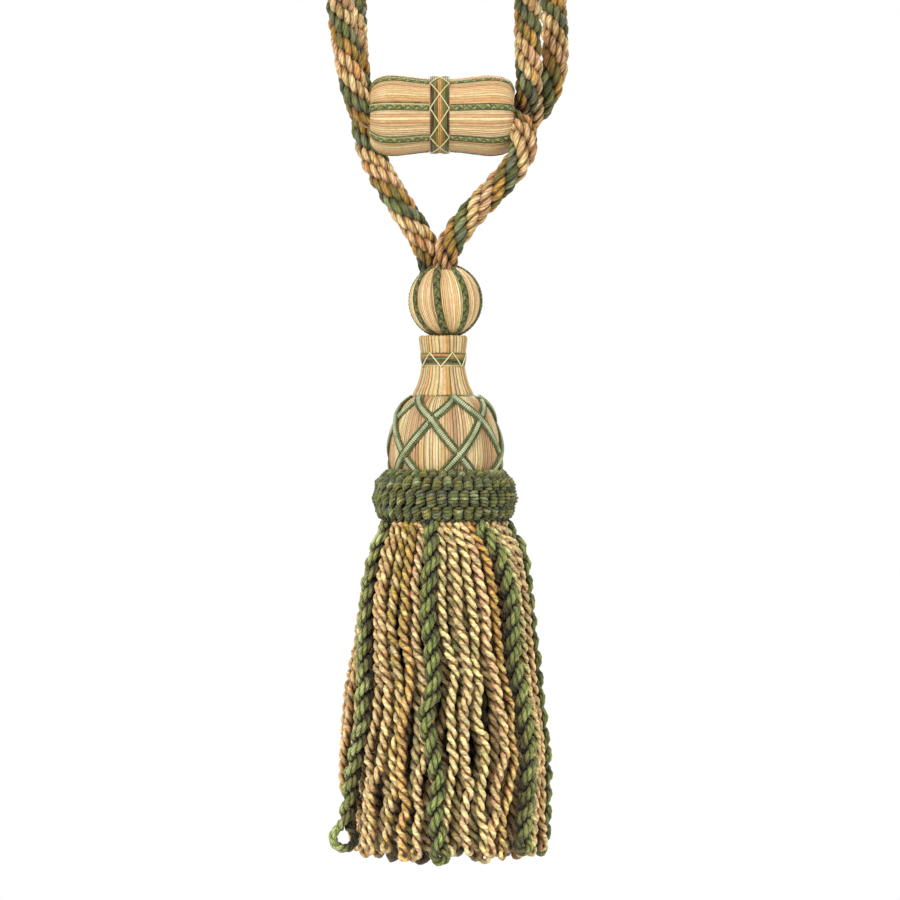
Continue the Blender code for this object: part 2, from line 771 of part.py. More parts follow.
def hang_cord(bm, face, angle, share, width, proud, place, levels):
    """Grow one cord down from its root face."""
    bottom = cord_bottom(place)
    heights = [SKIRT_UNDER + (bottom - SKIRT_UNDER) * level for level in levels]
    sections = [cord_section(angle, height, share, width, proud) for height in heights]
    flipped, shift = match_corners(face, sections[0])
    return grow(bm, face, [turn_order(section, flipped, shift) for section in sections])


def polar_plate(radii, columns):
    """Make a ring plate whose underside is split into cells, a row of cells for each step of radii.

    Returns the bmesh and the underside's cells by (row, column).
    """
    bm = bmesh.new()
    verts = [bm.verts.new((radius, 0, SKIRT_UNDER)) for radius in radii]
    edges = [bm.edges.new(pair) for pair in zip(verts, verts[1:])]
    bmesh.ops.spin(
        bm, geom=verts + edges, cent=(0, 0, 0), axis=(0, 0, 1), angle=2 * math.pi,
        steps=columns, use_merge=True,
    )
    bmesh.ops.remove_doubles(bm, verts=bm.verts, dist=0.01 * MM)
    cells = {}
    for face in bm.faces:
        centre = face.calc_center_median()
        radius = math.hypot(centre.x, centre.y)
        row = sum(1 for edge in radii if edge < radius) - 1
        angle = math.atan2(centre.y, centre.x) % (2 * math.pi)
        cells[row, int(angle / (2 * math.pi) * columns)] = face
        if face.normal.z > 0:
            face.normal_flip()
    rims = [edge for edge in bm.edges if edge.is_boundary]
    raised = bmesh.ops.extrude_edge_only(bm, edges=rims)["geom"]
    top = [item for item in raised if isinstance(item, bmesh.types.BMVert)]
    bmesh.ops.translate(bm, verts=top, vec=(0, 0, SKIRT_TOP - SKIRT_UNDER))
    bmesh.ops.bridge_loops(bm, edges=[edge for edge in bm.edges if edge.is_boundary])
    return bm, cells


def is_green(place):
    """True for the places round the skirt that hold a thick green cord."""
    return place % GREEN_EVERY == 0


def place_angle(place):
    """Direction of a cord's place round the skirt."""
    return math.radians(GREEN_TURN) + 2 * math.pi * place / SKIRT_SECTORS


def turn_cells(bm):
    """Turn the plate so that its strand cells lie at the cords' places."""
    cell = 2 * math.pi / (2 * SKIRT_SECTORS)
    turn = Matrix.Rotation(math.radians(GREEN_TURN) - cell / 2, 3, "Z")
    bmesh.ops.transform(bm, matrix=turn.to_4x4(), verts=bm.verts)


def make_fringe(collection, material):
    """Make the bullion skirt: a backing ring with every cord grown out of its underside."""
    radii = [BACKING_HOLE]
    for row in reversed(CORD_ROWS):
        radii += [row.root_inner * MM, row.root_outer * MM]
    bm, cells = polar_plate(radii, 2 * SKIRT_SECTORS)
    turn_cells(bm)
    for depth, row in enumerate(CORD_ROWS):
        strip = 2 * (len(CORD_ROWS) - depth) - 1
        for place in range(SKIRT_SECTORS):
            skipped = is_green(place) if depth == 0 else place % row.every
            if skipped:
                continue
            face = hang_cord(
                bm, cells[strip, 2 * place], place_angle(place), row.share, BULLION_WIDTH, 0,
                place + 7 * depth, CORD_LEVELS,
            )
            shrink(bm, face)
    return finish_mesh(bm, "fringe_bullion", collection, material)


def shrink(bm, face):
    """Close a cord's end in to a small tip."""
    middle = face.calc_center_median()
    for vert in face.verts:
        vert.co = middle + (vert.co - middle) * CORD_TIP


def make_green_cords(collection, material):
    """Make the thick green cords on their own backing ring, one of them ending in an open loop."""
    bm, cells = polar_plate([GREEN_RING_INNER, GREEN_RING_OUTER], 2 * SKIRT_SECTORS)
    turn_cells(bm)
    for place in range(0, SKIRT_SECTORS, GREEN_EVERY):
        looped = place == LOOP_CORD * GREEN_EVERY
        chosen = CORD_LEVELS[:-1] if looped else CORD_LEVELS
        face = hang_cord(
            bm, cells[0, 2 * place], place_angle(place), 1.0, GREEN_WIDTH, GREEN_PROUD, place, chosen,
        )
        if looped:
            open_loop(bm, face)
        else:
            shrink(bm, face)
    return finish_mesh(bm, "fringe_green", collection, material)


def open_loop(bm, face):
    """Carry a cord's end round an open loop that faces front and stops just short of the cord."""
    start = face.calc_center_median()
    corners = [(vert.co - start) * LOOP_WIDTH / GREEN_WIDTH for vert in face.verts]
    arm = Vector((LOOP_RADIUS, 0, 0))
    centre = start - arm - Vector((0, 0, LOOP_DROP))
    sections = []
    for i in range(LOOP_TURNS + 1):
        turn = Matrix.Rotation(math.radians(LOOP_SWEEP) * i / LOOP_TURNS, 3, "Y")
        sections.append([centre + turn @ (arm + corner) for corner in corners])
    grow(bm, face, sections)


# ---------------------------------------------------------------- the whole tassel

def main():
    """Make every piece of the tassel."""
    clear_scene()
    parts = new_collection("curtain_tieback_tassel")
    helpers = new_collection("cutters")
    finish = {name: make_material(name, paint) for name, paint in PAINTS.items()}

    make_rope("rope_main", MAIN_ROUTE, parts, finish["rope"])
    make_rope("rope_right", RIGHT_ROUTE, parts, finish["rope"])
    slide_ways = [rope_cutter("slide_way", MAIN_ROUTE[SLIDE_WAY], helpers)]
    slide_ways.append(rope_cutter("back_way", MAIN_ROUTE[BACK_WAY], helpers))
    slide_ways += [rope_cutter("leg_way", RIGHT_ROUTE[leg], helpers) for leg in RIGHT_WAYS]
    ball_ways = [rope_cutter("ball_way", MAIN_ROUTE[end], helpers) for end in BALL_WAYS]

    make_slide(parts, finish["silk"], slide_ways)
    slide_band = ring(
        "slide_band", SLIDE_BAND_OFFSET + SLIDE_BAND_WIDTH / 2, SLIDE_BAND_OFFSET - SLIDE_BAND_WIDTH / 2,
        SLIDE_WAIST, SLIDE_BAND_RADIUS, parts, finish["band"],
    )
    lay_along_x(slide_band)

    make_ball(parts, finish["silk"], ball_ways)
    neck = turned("neck", NECK_ROWS, parts, finish["silk"], columns=24)
    neck.location.x = NECK_X
    neck_band = ring(
        "neck_band", NECK_BAND_TOP, NECK_BAND_BOTTOM, NECK_WAIST + GAP, NECK_BAND_RADIUS,
        parts, finish["band"], columns=24,
    )
    neck_band.location.x = NECK_X
    dome = turned("dome", DOME_ROWS, parts, finish["silk"], columns=32)
    dome.location.x = DOME_X
    make_lattice(parts, helpers, finish["gimp"])
    make_ruff(parts, finish["ruff"])
    make_fringe(parts, finish["bullion"])
    make_green_cords(parts, finish["green_cord"])


main()
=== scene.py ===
"""The looks of a curtain tieback tassel: its yarn, thread and cord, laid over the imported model.

Metres, +Z up. The tassel's axis is Z, its front faces -Y, and everything hangs below the origin.
"""
import logging
import math
import sys
from collections.abc import Sequence
from dataclasses import dataclass, field, replace
from enum import Enum

import bmesh
import bpy
import numpy as np
from mathutils import Matrix, Vector

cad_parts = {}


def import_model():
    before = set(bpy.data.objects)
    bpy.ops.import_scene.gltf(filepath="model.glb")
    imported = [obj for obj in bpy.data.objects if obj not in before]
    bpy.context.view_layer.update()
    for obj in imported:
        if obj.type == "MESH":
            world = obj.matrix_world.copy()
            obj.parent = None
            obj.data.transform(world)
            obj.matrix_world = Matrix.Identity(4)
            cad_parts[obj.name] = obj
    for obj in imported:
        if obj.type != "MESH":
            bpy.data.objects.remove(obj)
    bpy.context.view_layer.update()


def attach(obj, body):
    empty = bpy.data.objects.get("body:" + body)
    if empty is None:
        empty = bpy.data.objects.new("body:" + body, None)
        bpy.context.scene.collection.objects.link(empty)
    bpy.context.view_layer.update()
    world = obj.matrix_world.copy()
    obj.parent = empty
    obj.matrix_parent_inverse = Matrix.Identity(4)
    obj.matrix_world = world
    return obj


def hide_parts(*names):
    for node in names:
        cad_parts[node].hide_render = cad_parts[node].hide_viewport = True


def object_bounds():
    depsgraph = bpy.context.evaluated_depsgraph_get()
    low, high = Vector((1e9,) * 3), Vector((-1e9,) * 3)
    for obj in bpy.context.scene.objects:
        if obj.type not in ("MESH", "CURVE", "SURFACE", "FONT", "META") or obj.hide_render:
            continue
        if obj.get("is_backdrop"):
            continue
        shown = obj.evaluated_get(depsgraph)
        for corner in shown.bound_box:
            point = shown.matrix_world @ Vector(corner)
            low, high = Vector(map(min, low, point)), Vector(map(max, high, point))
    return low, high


LOG = logging.getLogger("tassel")
MM = 0.001
TURN = 2 * math.pi
SAMPLES_BETWEEN = 24
# Size and length of each wave in an unevenness, and what their sum is divided by.
DRIFT_WAVES = ((1.0, 1.0), (0.5, 0.43), (0.3, 0.19))
DRIFT_PEAK = 1.5
MOST_LIGHT = 0.92
Array = np.ndarray


class Dye(Enum):
    """The colours of the yarns and threads, as a dyer would name them, in sRGB."""

    IVORY = (236, 218, 168)
    CREAM = (224, 198, 142)
    PEACH = (224, 184, 134)
    ROSE = (214, 176, 142)
    APRICOT = (208, 150, 86)
    TAN = (186, 144, 98)
    GOLD = (198, 156, 72)
    OLD_GOLD = (164, 130, 50)
    OLIVE = (136, 126, 58)
    MOSS = (108, 110, 56)
    LEAF = (120, 130, 66)
    FOREST = (74, 86, 44)
    SAGE = (160, 172, 120)
    MIST = (204, 210, 164)
    SLATE = (112, 120, 98)
    BARK = (104, 70, 34)
    UMBER = (48, 30, 16)
    NIGHT = (26, 32, 16)

    @property
    def linear(self) -> Array:
        """The colour as linear light."""
        share = np.array(self.value) / 255
        return np.where(share <= 0.04045, share / 12.92, ((share + 0.055) / 1.055) ** 2.4)


class Hand(Enum):
    """Which way a twist runs: Z like the letter's middle stroke, S the other way."""

    Z = 1
    S = -1


class Slot(Enum):
    """The record's material slots."""

    ROPE = "rope"
    SILK = "silk"
    BAND = "band"
    GIMP = "gimp"
    RUFF = "ruff"
    BULLION = "bullion"
    GREEN_CORD = "green_cord"


# ---------------------------------------------------------------- lines in space

def lengths(path: Array) -> Array:
    """Distance gone along a path at each of its points."""
    steps = np.linalg.norm(np.diff(path, axis=0), axis=1)
    return np.concatenate([[0.0], np.cumsum(steps)])


def smooth_line(points: Array, step: float, measured: int = 3) -> Array:
    """Sample a smooth curve through points at an even step.

    Args:
        points: One row for each point. Columns past the measured ones are carried along.
        step: Distance between two samples.
        measured: How many columns are coordinates.

    Returns:
        The samples, with the same columns.
    """
    padded = np.vstack([2 * points[0] - points[1], points, 2 * points[-1] - points[-2]])
    share = np.linspace(0, 1, SAMPLES_BETWEEN, endpoint=False)[:, None]
    fine = []
    for before, start, end, after in zip(padded, padded[1:], padded[2:], padded[3:]):
        leave, reach = (end - before) / 2, (after - start) / 2
        fine.append(
            (2 * share**3 - 3 * share**2 + 1) * start + (share**3 - 2 * share**2 + share) * leave
            + (3 * share**2 - 2 * share**3) * end + (share**3 - share**2) * reach
        )
    line = np.vstack(fine + [points[-1:]])
    gone = lengths(line[:, :measured])
    wanted = np.linspace(0, gone[-1], max(2, round(gone[-1] / step) + 1))
    return np.column_stack([np.interp(wanted, gone, column) for column in line.T])


def unit(vectors: Array) -> Array:
    """Vectors scaled to length one."""
    return vectors / np.linalg.norm(vectors, axis=-1, keepdims=True)


@dataclass
class Line:
    """A path with directions across it that are carried along without turning round it.

    Attributes:
        path: The path's points.
        first: A direction that the first one across it is taken from.
        along: Its own direction at each point.
        normal: A direction across it at each point.
        across: The direction square to both.
    """

    path: Array
    first: Array | None = None
    along: Array = field(init=False)
    normal: Array = field(init=False)
    across: Array = field(init=False)

    def __post_init__(self) -> None:
        """Work the directions out."""
        self.along = unit(np.gradient(self.path, axis=0))
        start = self.along[0]
        normal = self.first
        if normal is None:
            normal = np.cross(start, (0, 0, 1) if abs(start[2]) < 0.9 else (0, 1, 0))
        self.normal = np.empty_like(self.path)
        for i, direction in enumerate(self.along):
            normal = normal - direction * np.dot(normal, direction)
            normal = normal / math.sqrt(np.dot(normal, normal))
            self.normal[i] = normal
        self.across = np.cross(self.along, self.normal)

    def twisted(self, radius: Array | float, pitch: float, hand: Hand, start: Array | float) -> Array:
        """Path of a strand that is twisted round this line.

        Args:
            radius: Distance from the line, one value or one for each point.
            pitch: Length of one whole turn.
            hand: The way the twist runs.
            start: Angle at the line's first point, in radians, or with what it gains on the way at each.

        Returns:
            The strand's points.
        """
        angle = start + hand.value * TURN * lengths(self.path) / pitch
        out = self.normal * np.cos(angle)[:, None] + self.across * np.sin(angle)[:, None]
        return self.path + out * np.broadcast_to(radius, angle.shape)[:, None]

    def start_for(self, side: Array, pitch: float, hand: Hand) -> float:
        """Start angle that brings a twisted strand out at a wanted side at this line's end.

        Args:
            side: The direction in which it should lie there.
            pitch: Length of one whole turn.
            hand: The way the twist runs.

        Returns:
            The angle at the line's first point, in radians.
        """
        last = math.atan2(float(np.dot(side, self.across[-1])), float(np.dot(side, self.normal[-1])))
        return last - hand.value * TURN * float(lengths(self.path)[-1]) / pitch


def eased(gone: Array, fade: float) -> Array:
    """Rise smoothly from 0 to 1 over the first stretch of a distance."""
    share = np.clip(gone / fade, 0, 1)
    return share**2 * (3 - 2 * share)


def drift(gone: Array, seed: int, wave: float) -> Array:
    """A smooth, uneven value from about -1 to 1 along a length.

    Args:
        gone: Distances along the length.
        seed: Which unevenness to draw.
        wave: The longest wave in it.

    Returns:
        One value for each distance.
    """
    phases = np.random.default_rng(seed).uniform(0, TURN, len(DRIFT_WAVES))
    value = sum(
        size * np.sin(TURN * gone / (wave * share) + phase)
        for (size, share), phase in zip(DRIFT_WAVES, phases)
    )
    return value / DRIFT_PEAK


def dyed(dyes: Sequence[Dye], gone: Array, seed: int, patch: float, contrast: float = 2.4) -> Array:
    """Colours along a space-dyed yarn, whose dyes run into each other in patches.

    Args:
        dyes: The yarn's dyes.
        gone: Distances along the yarn.
        seed: Which patches to draw.
        patch: Length of the longest patches.
        contrast: How purely a patch shows one dye.

    Returns:
        A linear colour for each distance.
    """
    weights = np.array([
        np.exp(contrast * drift(gone, 97 * seed + 13 * index, patch)) for index in range(len(dyes))
    ])
    weights = weights / weights.sum(axis=0)
    return weights.T @ np.array([dye.linear for dye in dyes])


# ---------------------------------------------------------------- finishes

Socket = bpy.types.NodeSocket
SHEEN_ROUGHNESS = 0.45
SPECULAR_LEVEL = 0.35
NOISE_ROUGHNESS = 0.65
# How fast each noise changes along a yarn and across it, how fine it is, and the range of it that shows.
FIBRE_CHANGE = 0.55
FIBRE_DETAIL = 3.0
FIBRE_RANGE = (0.3, 0.7)
PLY_CHANGE = 0.28
PLY_SPREAD = 17.3
PLY_RANGE = (0.34, 0.66)
GROOVE_RANGE = (0.05, 0.6)
SPECK_CHANGE = 0.9
SPECK_FINER = 2.3
SPECK_DETAIL = 2.0
SPECK_RANGE = (0.5, 0.62)


class Nodes:
    """A material's nodes, with the steps that a finish is put together from."""

    def __init__(self, tree: bpy.types.NodeTree) -> None:
        """Take the tree that the steps go into."""
        self.tree = tree

    def link(self, value: Socket, node: bpy.types.Node, socket: int | str) -> None:
        """Join a value to one of a node's inputs."""
        self.tree.links.new(value, node.inputs[socket])

    def math(self, operation: str, value: Socket, other: Socket | float = 0.0) -> Socket:
        """One step of arithmetic.

        Args:
            operation: What is done.
            value: The first value.
            other: The second value, a socket or a number.

        Returns:
            The result.
        """
        node = self.tree.nodes.new("ShaderNodeMath")
        node.operation = operation
        self.link(value, node, 0)
        if isinstance(other, Socket):
            self.link(other, node, 1)
        else:
            node.inputs[1].default_value = other
        return node.outputs[0]

    def scaled(self, value: Socket, factor: float) -> Socket:
        """A value times a number."""
        return self.math("MULTIPLY", value, factor)

    def wound(self, gone: Socket, lay: float, side: Socket) -> Socket:
        """Turns round a yarn, with one more for each length of lay gone."""
        return self.math("ADD", self.scaled(gone, 1 / lay), side)

    def noise(self, across: Socket, along: Socket, detail: float) -> Socket:
        """Soft noise over two coordinates, from 0 to 1.

        Args:
            across: The first coordinate.
            along: The second coordinate.
            detail: How many finer layers it has.

        Returns:
            The noise.
        """
        join = self.tree.nodes.new("ShaderNodeCombineXYZ")
        self.link(across, join, "X")
        self.link(along, join, "Y")
        noise = self.tree.nodes.new("ShaderNodeTexNoise")
        noise.inputs["Scale"].default_value = 1.0
        noise.inputs["Detail"].default_value = detail
        noise.inputs["Roughness"].default_value = NOISE_ROUGHNESS
        self.link(join.outputs[0], noise, "Vector")
        return noise.outputs[0]

    def ranged(self, value: Socket, given: tuple[float, float], wanted: tuple[float, float]) -> Socket:
        """A value carried from one range to another and held inside it.

        Args:
            value: The value.
            given: The range it has.
            wanted: The range it gets.

        Returns:
            The result.
        """
        node = self.tree.nodes.new("ShaderNodeMapRange")
        node.inputs["From Min"].default_value, node.inputs["From Max"].default_value = given
        node.inputs["To Min"].default_value, node.inputs["To Max"].default_value = wanted
        self.link(value, node, "Value")
        return node.outputs["Result"]

    def bumped(self, height: Socket, distance: float, normal: Socket | None = None) -> Socket:
        """A normal that follows a height.

        Args:
            height: The height, from 0 to 1.
            distance: What a height of 1 is, in metres.
            normal: The normal that it is laid over.

        Returns:
            The new normal.
        """
        bump = self.tree.nodes.new("ShaderNodeBump")
        bump.inputs["Distance"].default_value = distance
        bump.inputs["Strength"].default_value = 1.0
        self.link(height, bump, "Height")
        if normal:
            self.link(normal, bump, "Normal")
        return bump.outputs["Normal"]


@dataclass(frozen=True)
class ThreadFinish:
    """A fabric finish: fibres that run round a yarn, with its own dye under them.

    Attributes:
        name: The material's name.
        roughness: How matt the fibres are.
        sheen: Strength of the soft light at their edges.
        fibres: Bundles of fibres counted once round the yarn.
        slant: Length of yarn, in millimetres, on which a bundle goes once round. Negative runs the other way.
        relief: Height of the fibres in metres.
        mottle: How much lighter and darker single fibres are.
        plies: Finer yarns counted once round the yarn.
        lay: Length of yarn, in millimetres, on which a ply goes once round. Negative runs the other way.
        groove: How much light painted shade takes in the grooves between two plies.
        fleck: How much lighter and darker single plies are.
        depth: Depth of the grooves in metres.
        speck: How much of another dye shows in short pieces of single plies.
        speck_dye: That dye.
    """

    name: str
    roughness: float
    sheen: float
    fibres: int
    slant: float
    relief: float
    mottle: float
    plies: int = 0
    lay: float = 1.0
    groove: float = 0.0
    fleck: float = 0.0
    depth: float = 0.0
    speck: float = 0.0
    speck_dye: Dye = Dye.OLD_GOLD

    def material(self) -> bpy.types.Material:
        """Make the node material, or return the one that was made before.

        Returns:
            The material.
        """
        found = bpy.data.materials.get(self.name)
        if found:
            return found
        material = bpy.data.materials.new(self.name)
        material.use_nodes = True
        nodes = Nodes(material.node_tree)
        shader = nodes.tree.nodes["Principled BSDF"]
        shader.inputs["Roughness"].default_value = self.roughness
        shader.inputs["Sheen Weight"].default_value = self.sheen
        shader.inputs["Sheen Roughness"].default_value = SHEEN_ROUGHNESS
        shader.inputs["Specular IOR Level"].default_value = SPECULAR_LEVEL
        lay = nodes.tree.nodes.new("ShaderNodeUVMap")
        lay.uv_map = "lay"
        split = nodes.tree.nodes.new("ShaderNodeSeparateXYZ")
        nodes.link(lay.outputs["UV"], split, 0)
        gone, side = split.outputs["X"], split.outputs["Y"]
        wind = nodes.wound(gone, self.slant, side)
        fibres = nodes.noise(nodes.scaled(wind, self.fibres), nodes.scaled(gone, FIBRE_CHANGE), FIBRE_DETAIL)
        light = nodes.ranged(fibres, FIBRE_RANGE, (1 - self.mottle, 1 + self.mottle))
        normal = nodes.bumped(fibres, self.relief)
        if self.plies:
            light, normal = self._plied(nodes, gone, side, light, normal)
        tint = nodes.tree.nodes.new("ShaderNodeVertexColor")
        tint.layer_name = "tint"
        dyed_with = tint.outputs["Color"]
        if self.speck:
            dyed_with = self._specked(nodes, dyed_with, nodes.scaled(wind, SPECK_FINER * self.fibres), gone)
        mix = nodes.tree.nodes.new("ShaderNodeVectorMath")
        mix.operation = "SCALE"
        nodes.link(dyed_with, mix, 0)
        nodes.link(light, mix, "Scale")
        nodes.link(mix.outputs["Vector"], shader, "Base Color")
        nodes.link(normal, shader, "Normal")
        return material

    def _plied(
        self, nodes: Nodes, gone: Socket, side: Socket, light: Socket, normal: Socket,
    ) -> tuple[Socket, Socket]:
        """Twist the fibres into finer yarns, with painted shade in the grooves between them.

        Args:
            nodes: The material's nodes.
            gone: Millimetres along the yarn.
            side: Turns round it.
            light: How light the fibres are.
            normal: The fibres' normal.

        Returns:
            The light and the normal with the finer yarns in them.
        """
        turned = nodes.scaled(nodes.wound(gone, self.lay, side), self.plies)
        crest = nodes.math("ABSOLUTE", nodes.math("COSINE", nodes.scaled(turned, math.pi)))
        count = nodes.math("FLOOR", nodes.math("ADD", turned, 0.5))
        count = nodes.math("FLOORED_MODULO", count, self.plies)
        patches = nodes.noise(nodes.scaled(count, PLY_SPREAD), nodes.scaled(gone, PLY_CHANGE), 1.0)
        fleck = nodes.ranged(patches, PLY_RANGE, (1 - self.fleck, 1 + self.fleck))
        # Painted shade in the grooves between the plies.
        groove = nodes.ranged(crest, GROOVE_RANGE, (1 - self.groove, 1.0))
        shade = nodes.math("MULTIPLY", fleck, groove)
        return nodes.math("MULTIPLY", light, shade), nodes.bumped(crest, self.depth, normal)

    def _specked(self, nodes: Nodes, tint: Socket, across: Socket, gone: Socket) -> Socket:
        """Let another dye show in short pieces, as light or dark as the tint under it.

        Args:
            nodes: The material's nodes.
            tint: The tint under it.
            across: Fibres counted round the yarn.
            gone: Millimetres along the yarn.

        Returns:
            The specked tint.
        """
        pieces = nodes.noise(across, nodes.scaled(gone, SPECK_CHANGE), SPECK_DETAIL)
        blend = nodes.tree.nodes.new("ShaderNodeMix")
        blend.data_type = "RGBA"
        blend.blend_type = "MULTIPLY"
        nodes.link(nodes.ranged(pieces, SPECK_RANGE, (0.0, self.speck)), blend, "Factor")
        nodes.link(tint, blend, "A")
        other = self.speck_dye.linear / self.speck_dye.linear.max()
        blend.inputs["B"].default_value = (*other, 1.0)
        return blend.outputs["Result"]


ROPE_YARN = ThreadFinish(
    "rope_yarn", 0.58, 0.2, 8, -13.0, 0.0001, 0.34, plies=5, lay=-13.0, groove=0.5, fleck=0.3, depth=0.00018,
    speck=0.55, speck_dye=Dye.OLD_GOLD,
)
SILK_THREAD = ThreadFinish("silk_thread", 0.4, 0.15, 1, 400.0, 0.00006, 0.2)
BRAID_THREAD = ThreadFinish("braid_thread", 0.5, 0.2, 3, 5.0, 0.0001, 0.26)
BAND_THREAD = ThreadFinish("band_thread", 0.5, 0.2, 3, 4.0, 0.0001, 0.3)
GIMP_CORD = ThreadFinish("gimp_cord", 0.5, 0.2, 2, 1.2, 0.00006, 0.14)
RUFF_YARN = ThreadFinish(
    "ruff_yarn", 0.75, 0.2, 3, 7.0, 0.0001, 0.3, plies=3, lay=4.0, groove=0.4, fleck=0.3, depth=0.00014,
)
BULLION_YARN = ThreadFinish(
    "bullion_yarn", 0.58, 0.2, 5, 6.4, 0.00014, 0.54, plies=2, lay=6.4, groove=0.2, fleck=0.34, depth=0.00012,
    speck=0.62, speck_dye=Dye.OLIVE,
)
GREEN_YARN = ThreadFinish(
    "green_yarn", 0.6, 0.25, 5, -9.0, 0.00012, 0.42, plies=4, lay=-9.0, groove=0.5, fleck=0.34, depth=0.00016,
)


# ---------------------------------------------------------------- skeins of yarn

# Light lost to painted shade between two lobes, how steeply the painted shade towards a heart fades, the
# share of the warmth of a crease's painted shade that its green channel gets, and how far each yarn's
# pattern starts past the last one's: in turns of its lobes, or in millimetres where it has none.
LOBE_SHADE = 0.2
HEART_CURVE = 1.6
GREEN_WARMTH = 0.4
LOBE_SHIFT = 7
YARN_SHIFT = 37


def tint_points(mesh: bpy.types.Mesh, tints: Array) -> None:
    """Give a mesh's points their colours, with alpha."""
    attribute = mesh.attributes.new("tint", "FLOAT_COLOR", "POINT")
    attribute.data.foreach_set("color", tints.ravel())


@dataclass
class Heart:
    """The line that a yarn lies round, towards which painted shade darkens it. Between the inner and the
    outer radius it comes out of that painted shade.
    """

    path: Array
    inner: float
    outer: float


@dataclass
class Yarn:
    """One yarn: its line, and its radius and colour at each point.

    Attributes:
        path: Points of its centreline.
        radius: Radius at each point.
        tint: Linear colour at each point.
        hearts: Lines towards which painted shade darkens its sides.
        closed: True where the end joins the start.
        lobes: Finer yarns that its own surface shows round it.
        lobe_depth: Depth of the grooves between them, as a share of the radius.
        lobe_pitch: Length on which they go once round, negative for an S twist.
    """

    path: Array
    radius: Array
    tint: Array
    hearts: Sequence[Heart] = ()
    closed: bool = False
    lobes: int = 0
    lobe_depth: float = 0.0
    lobe_pitch: float = 1.0


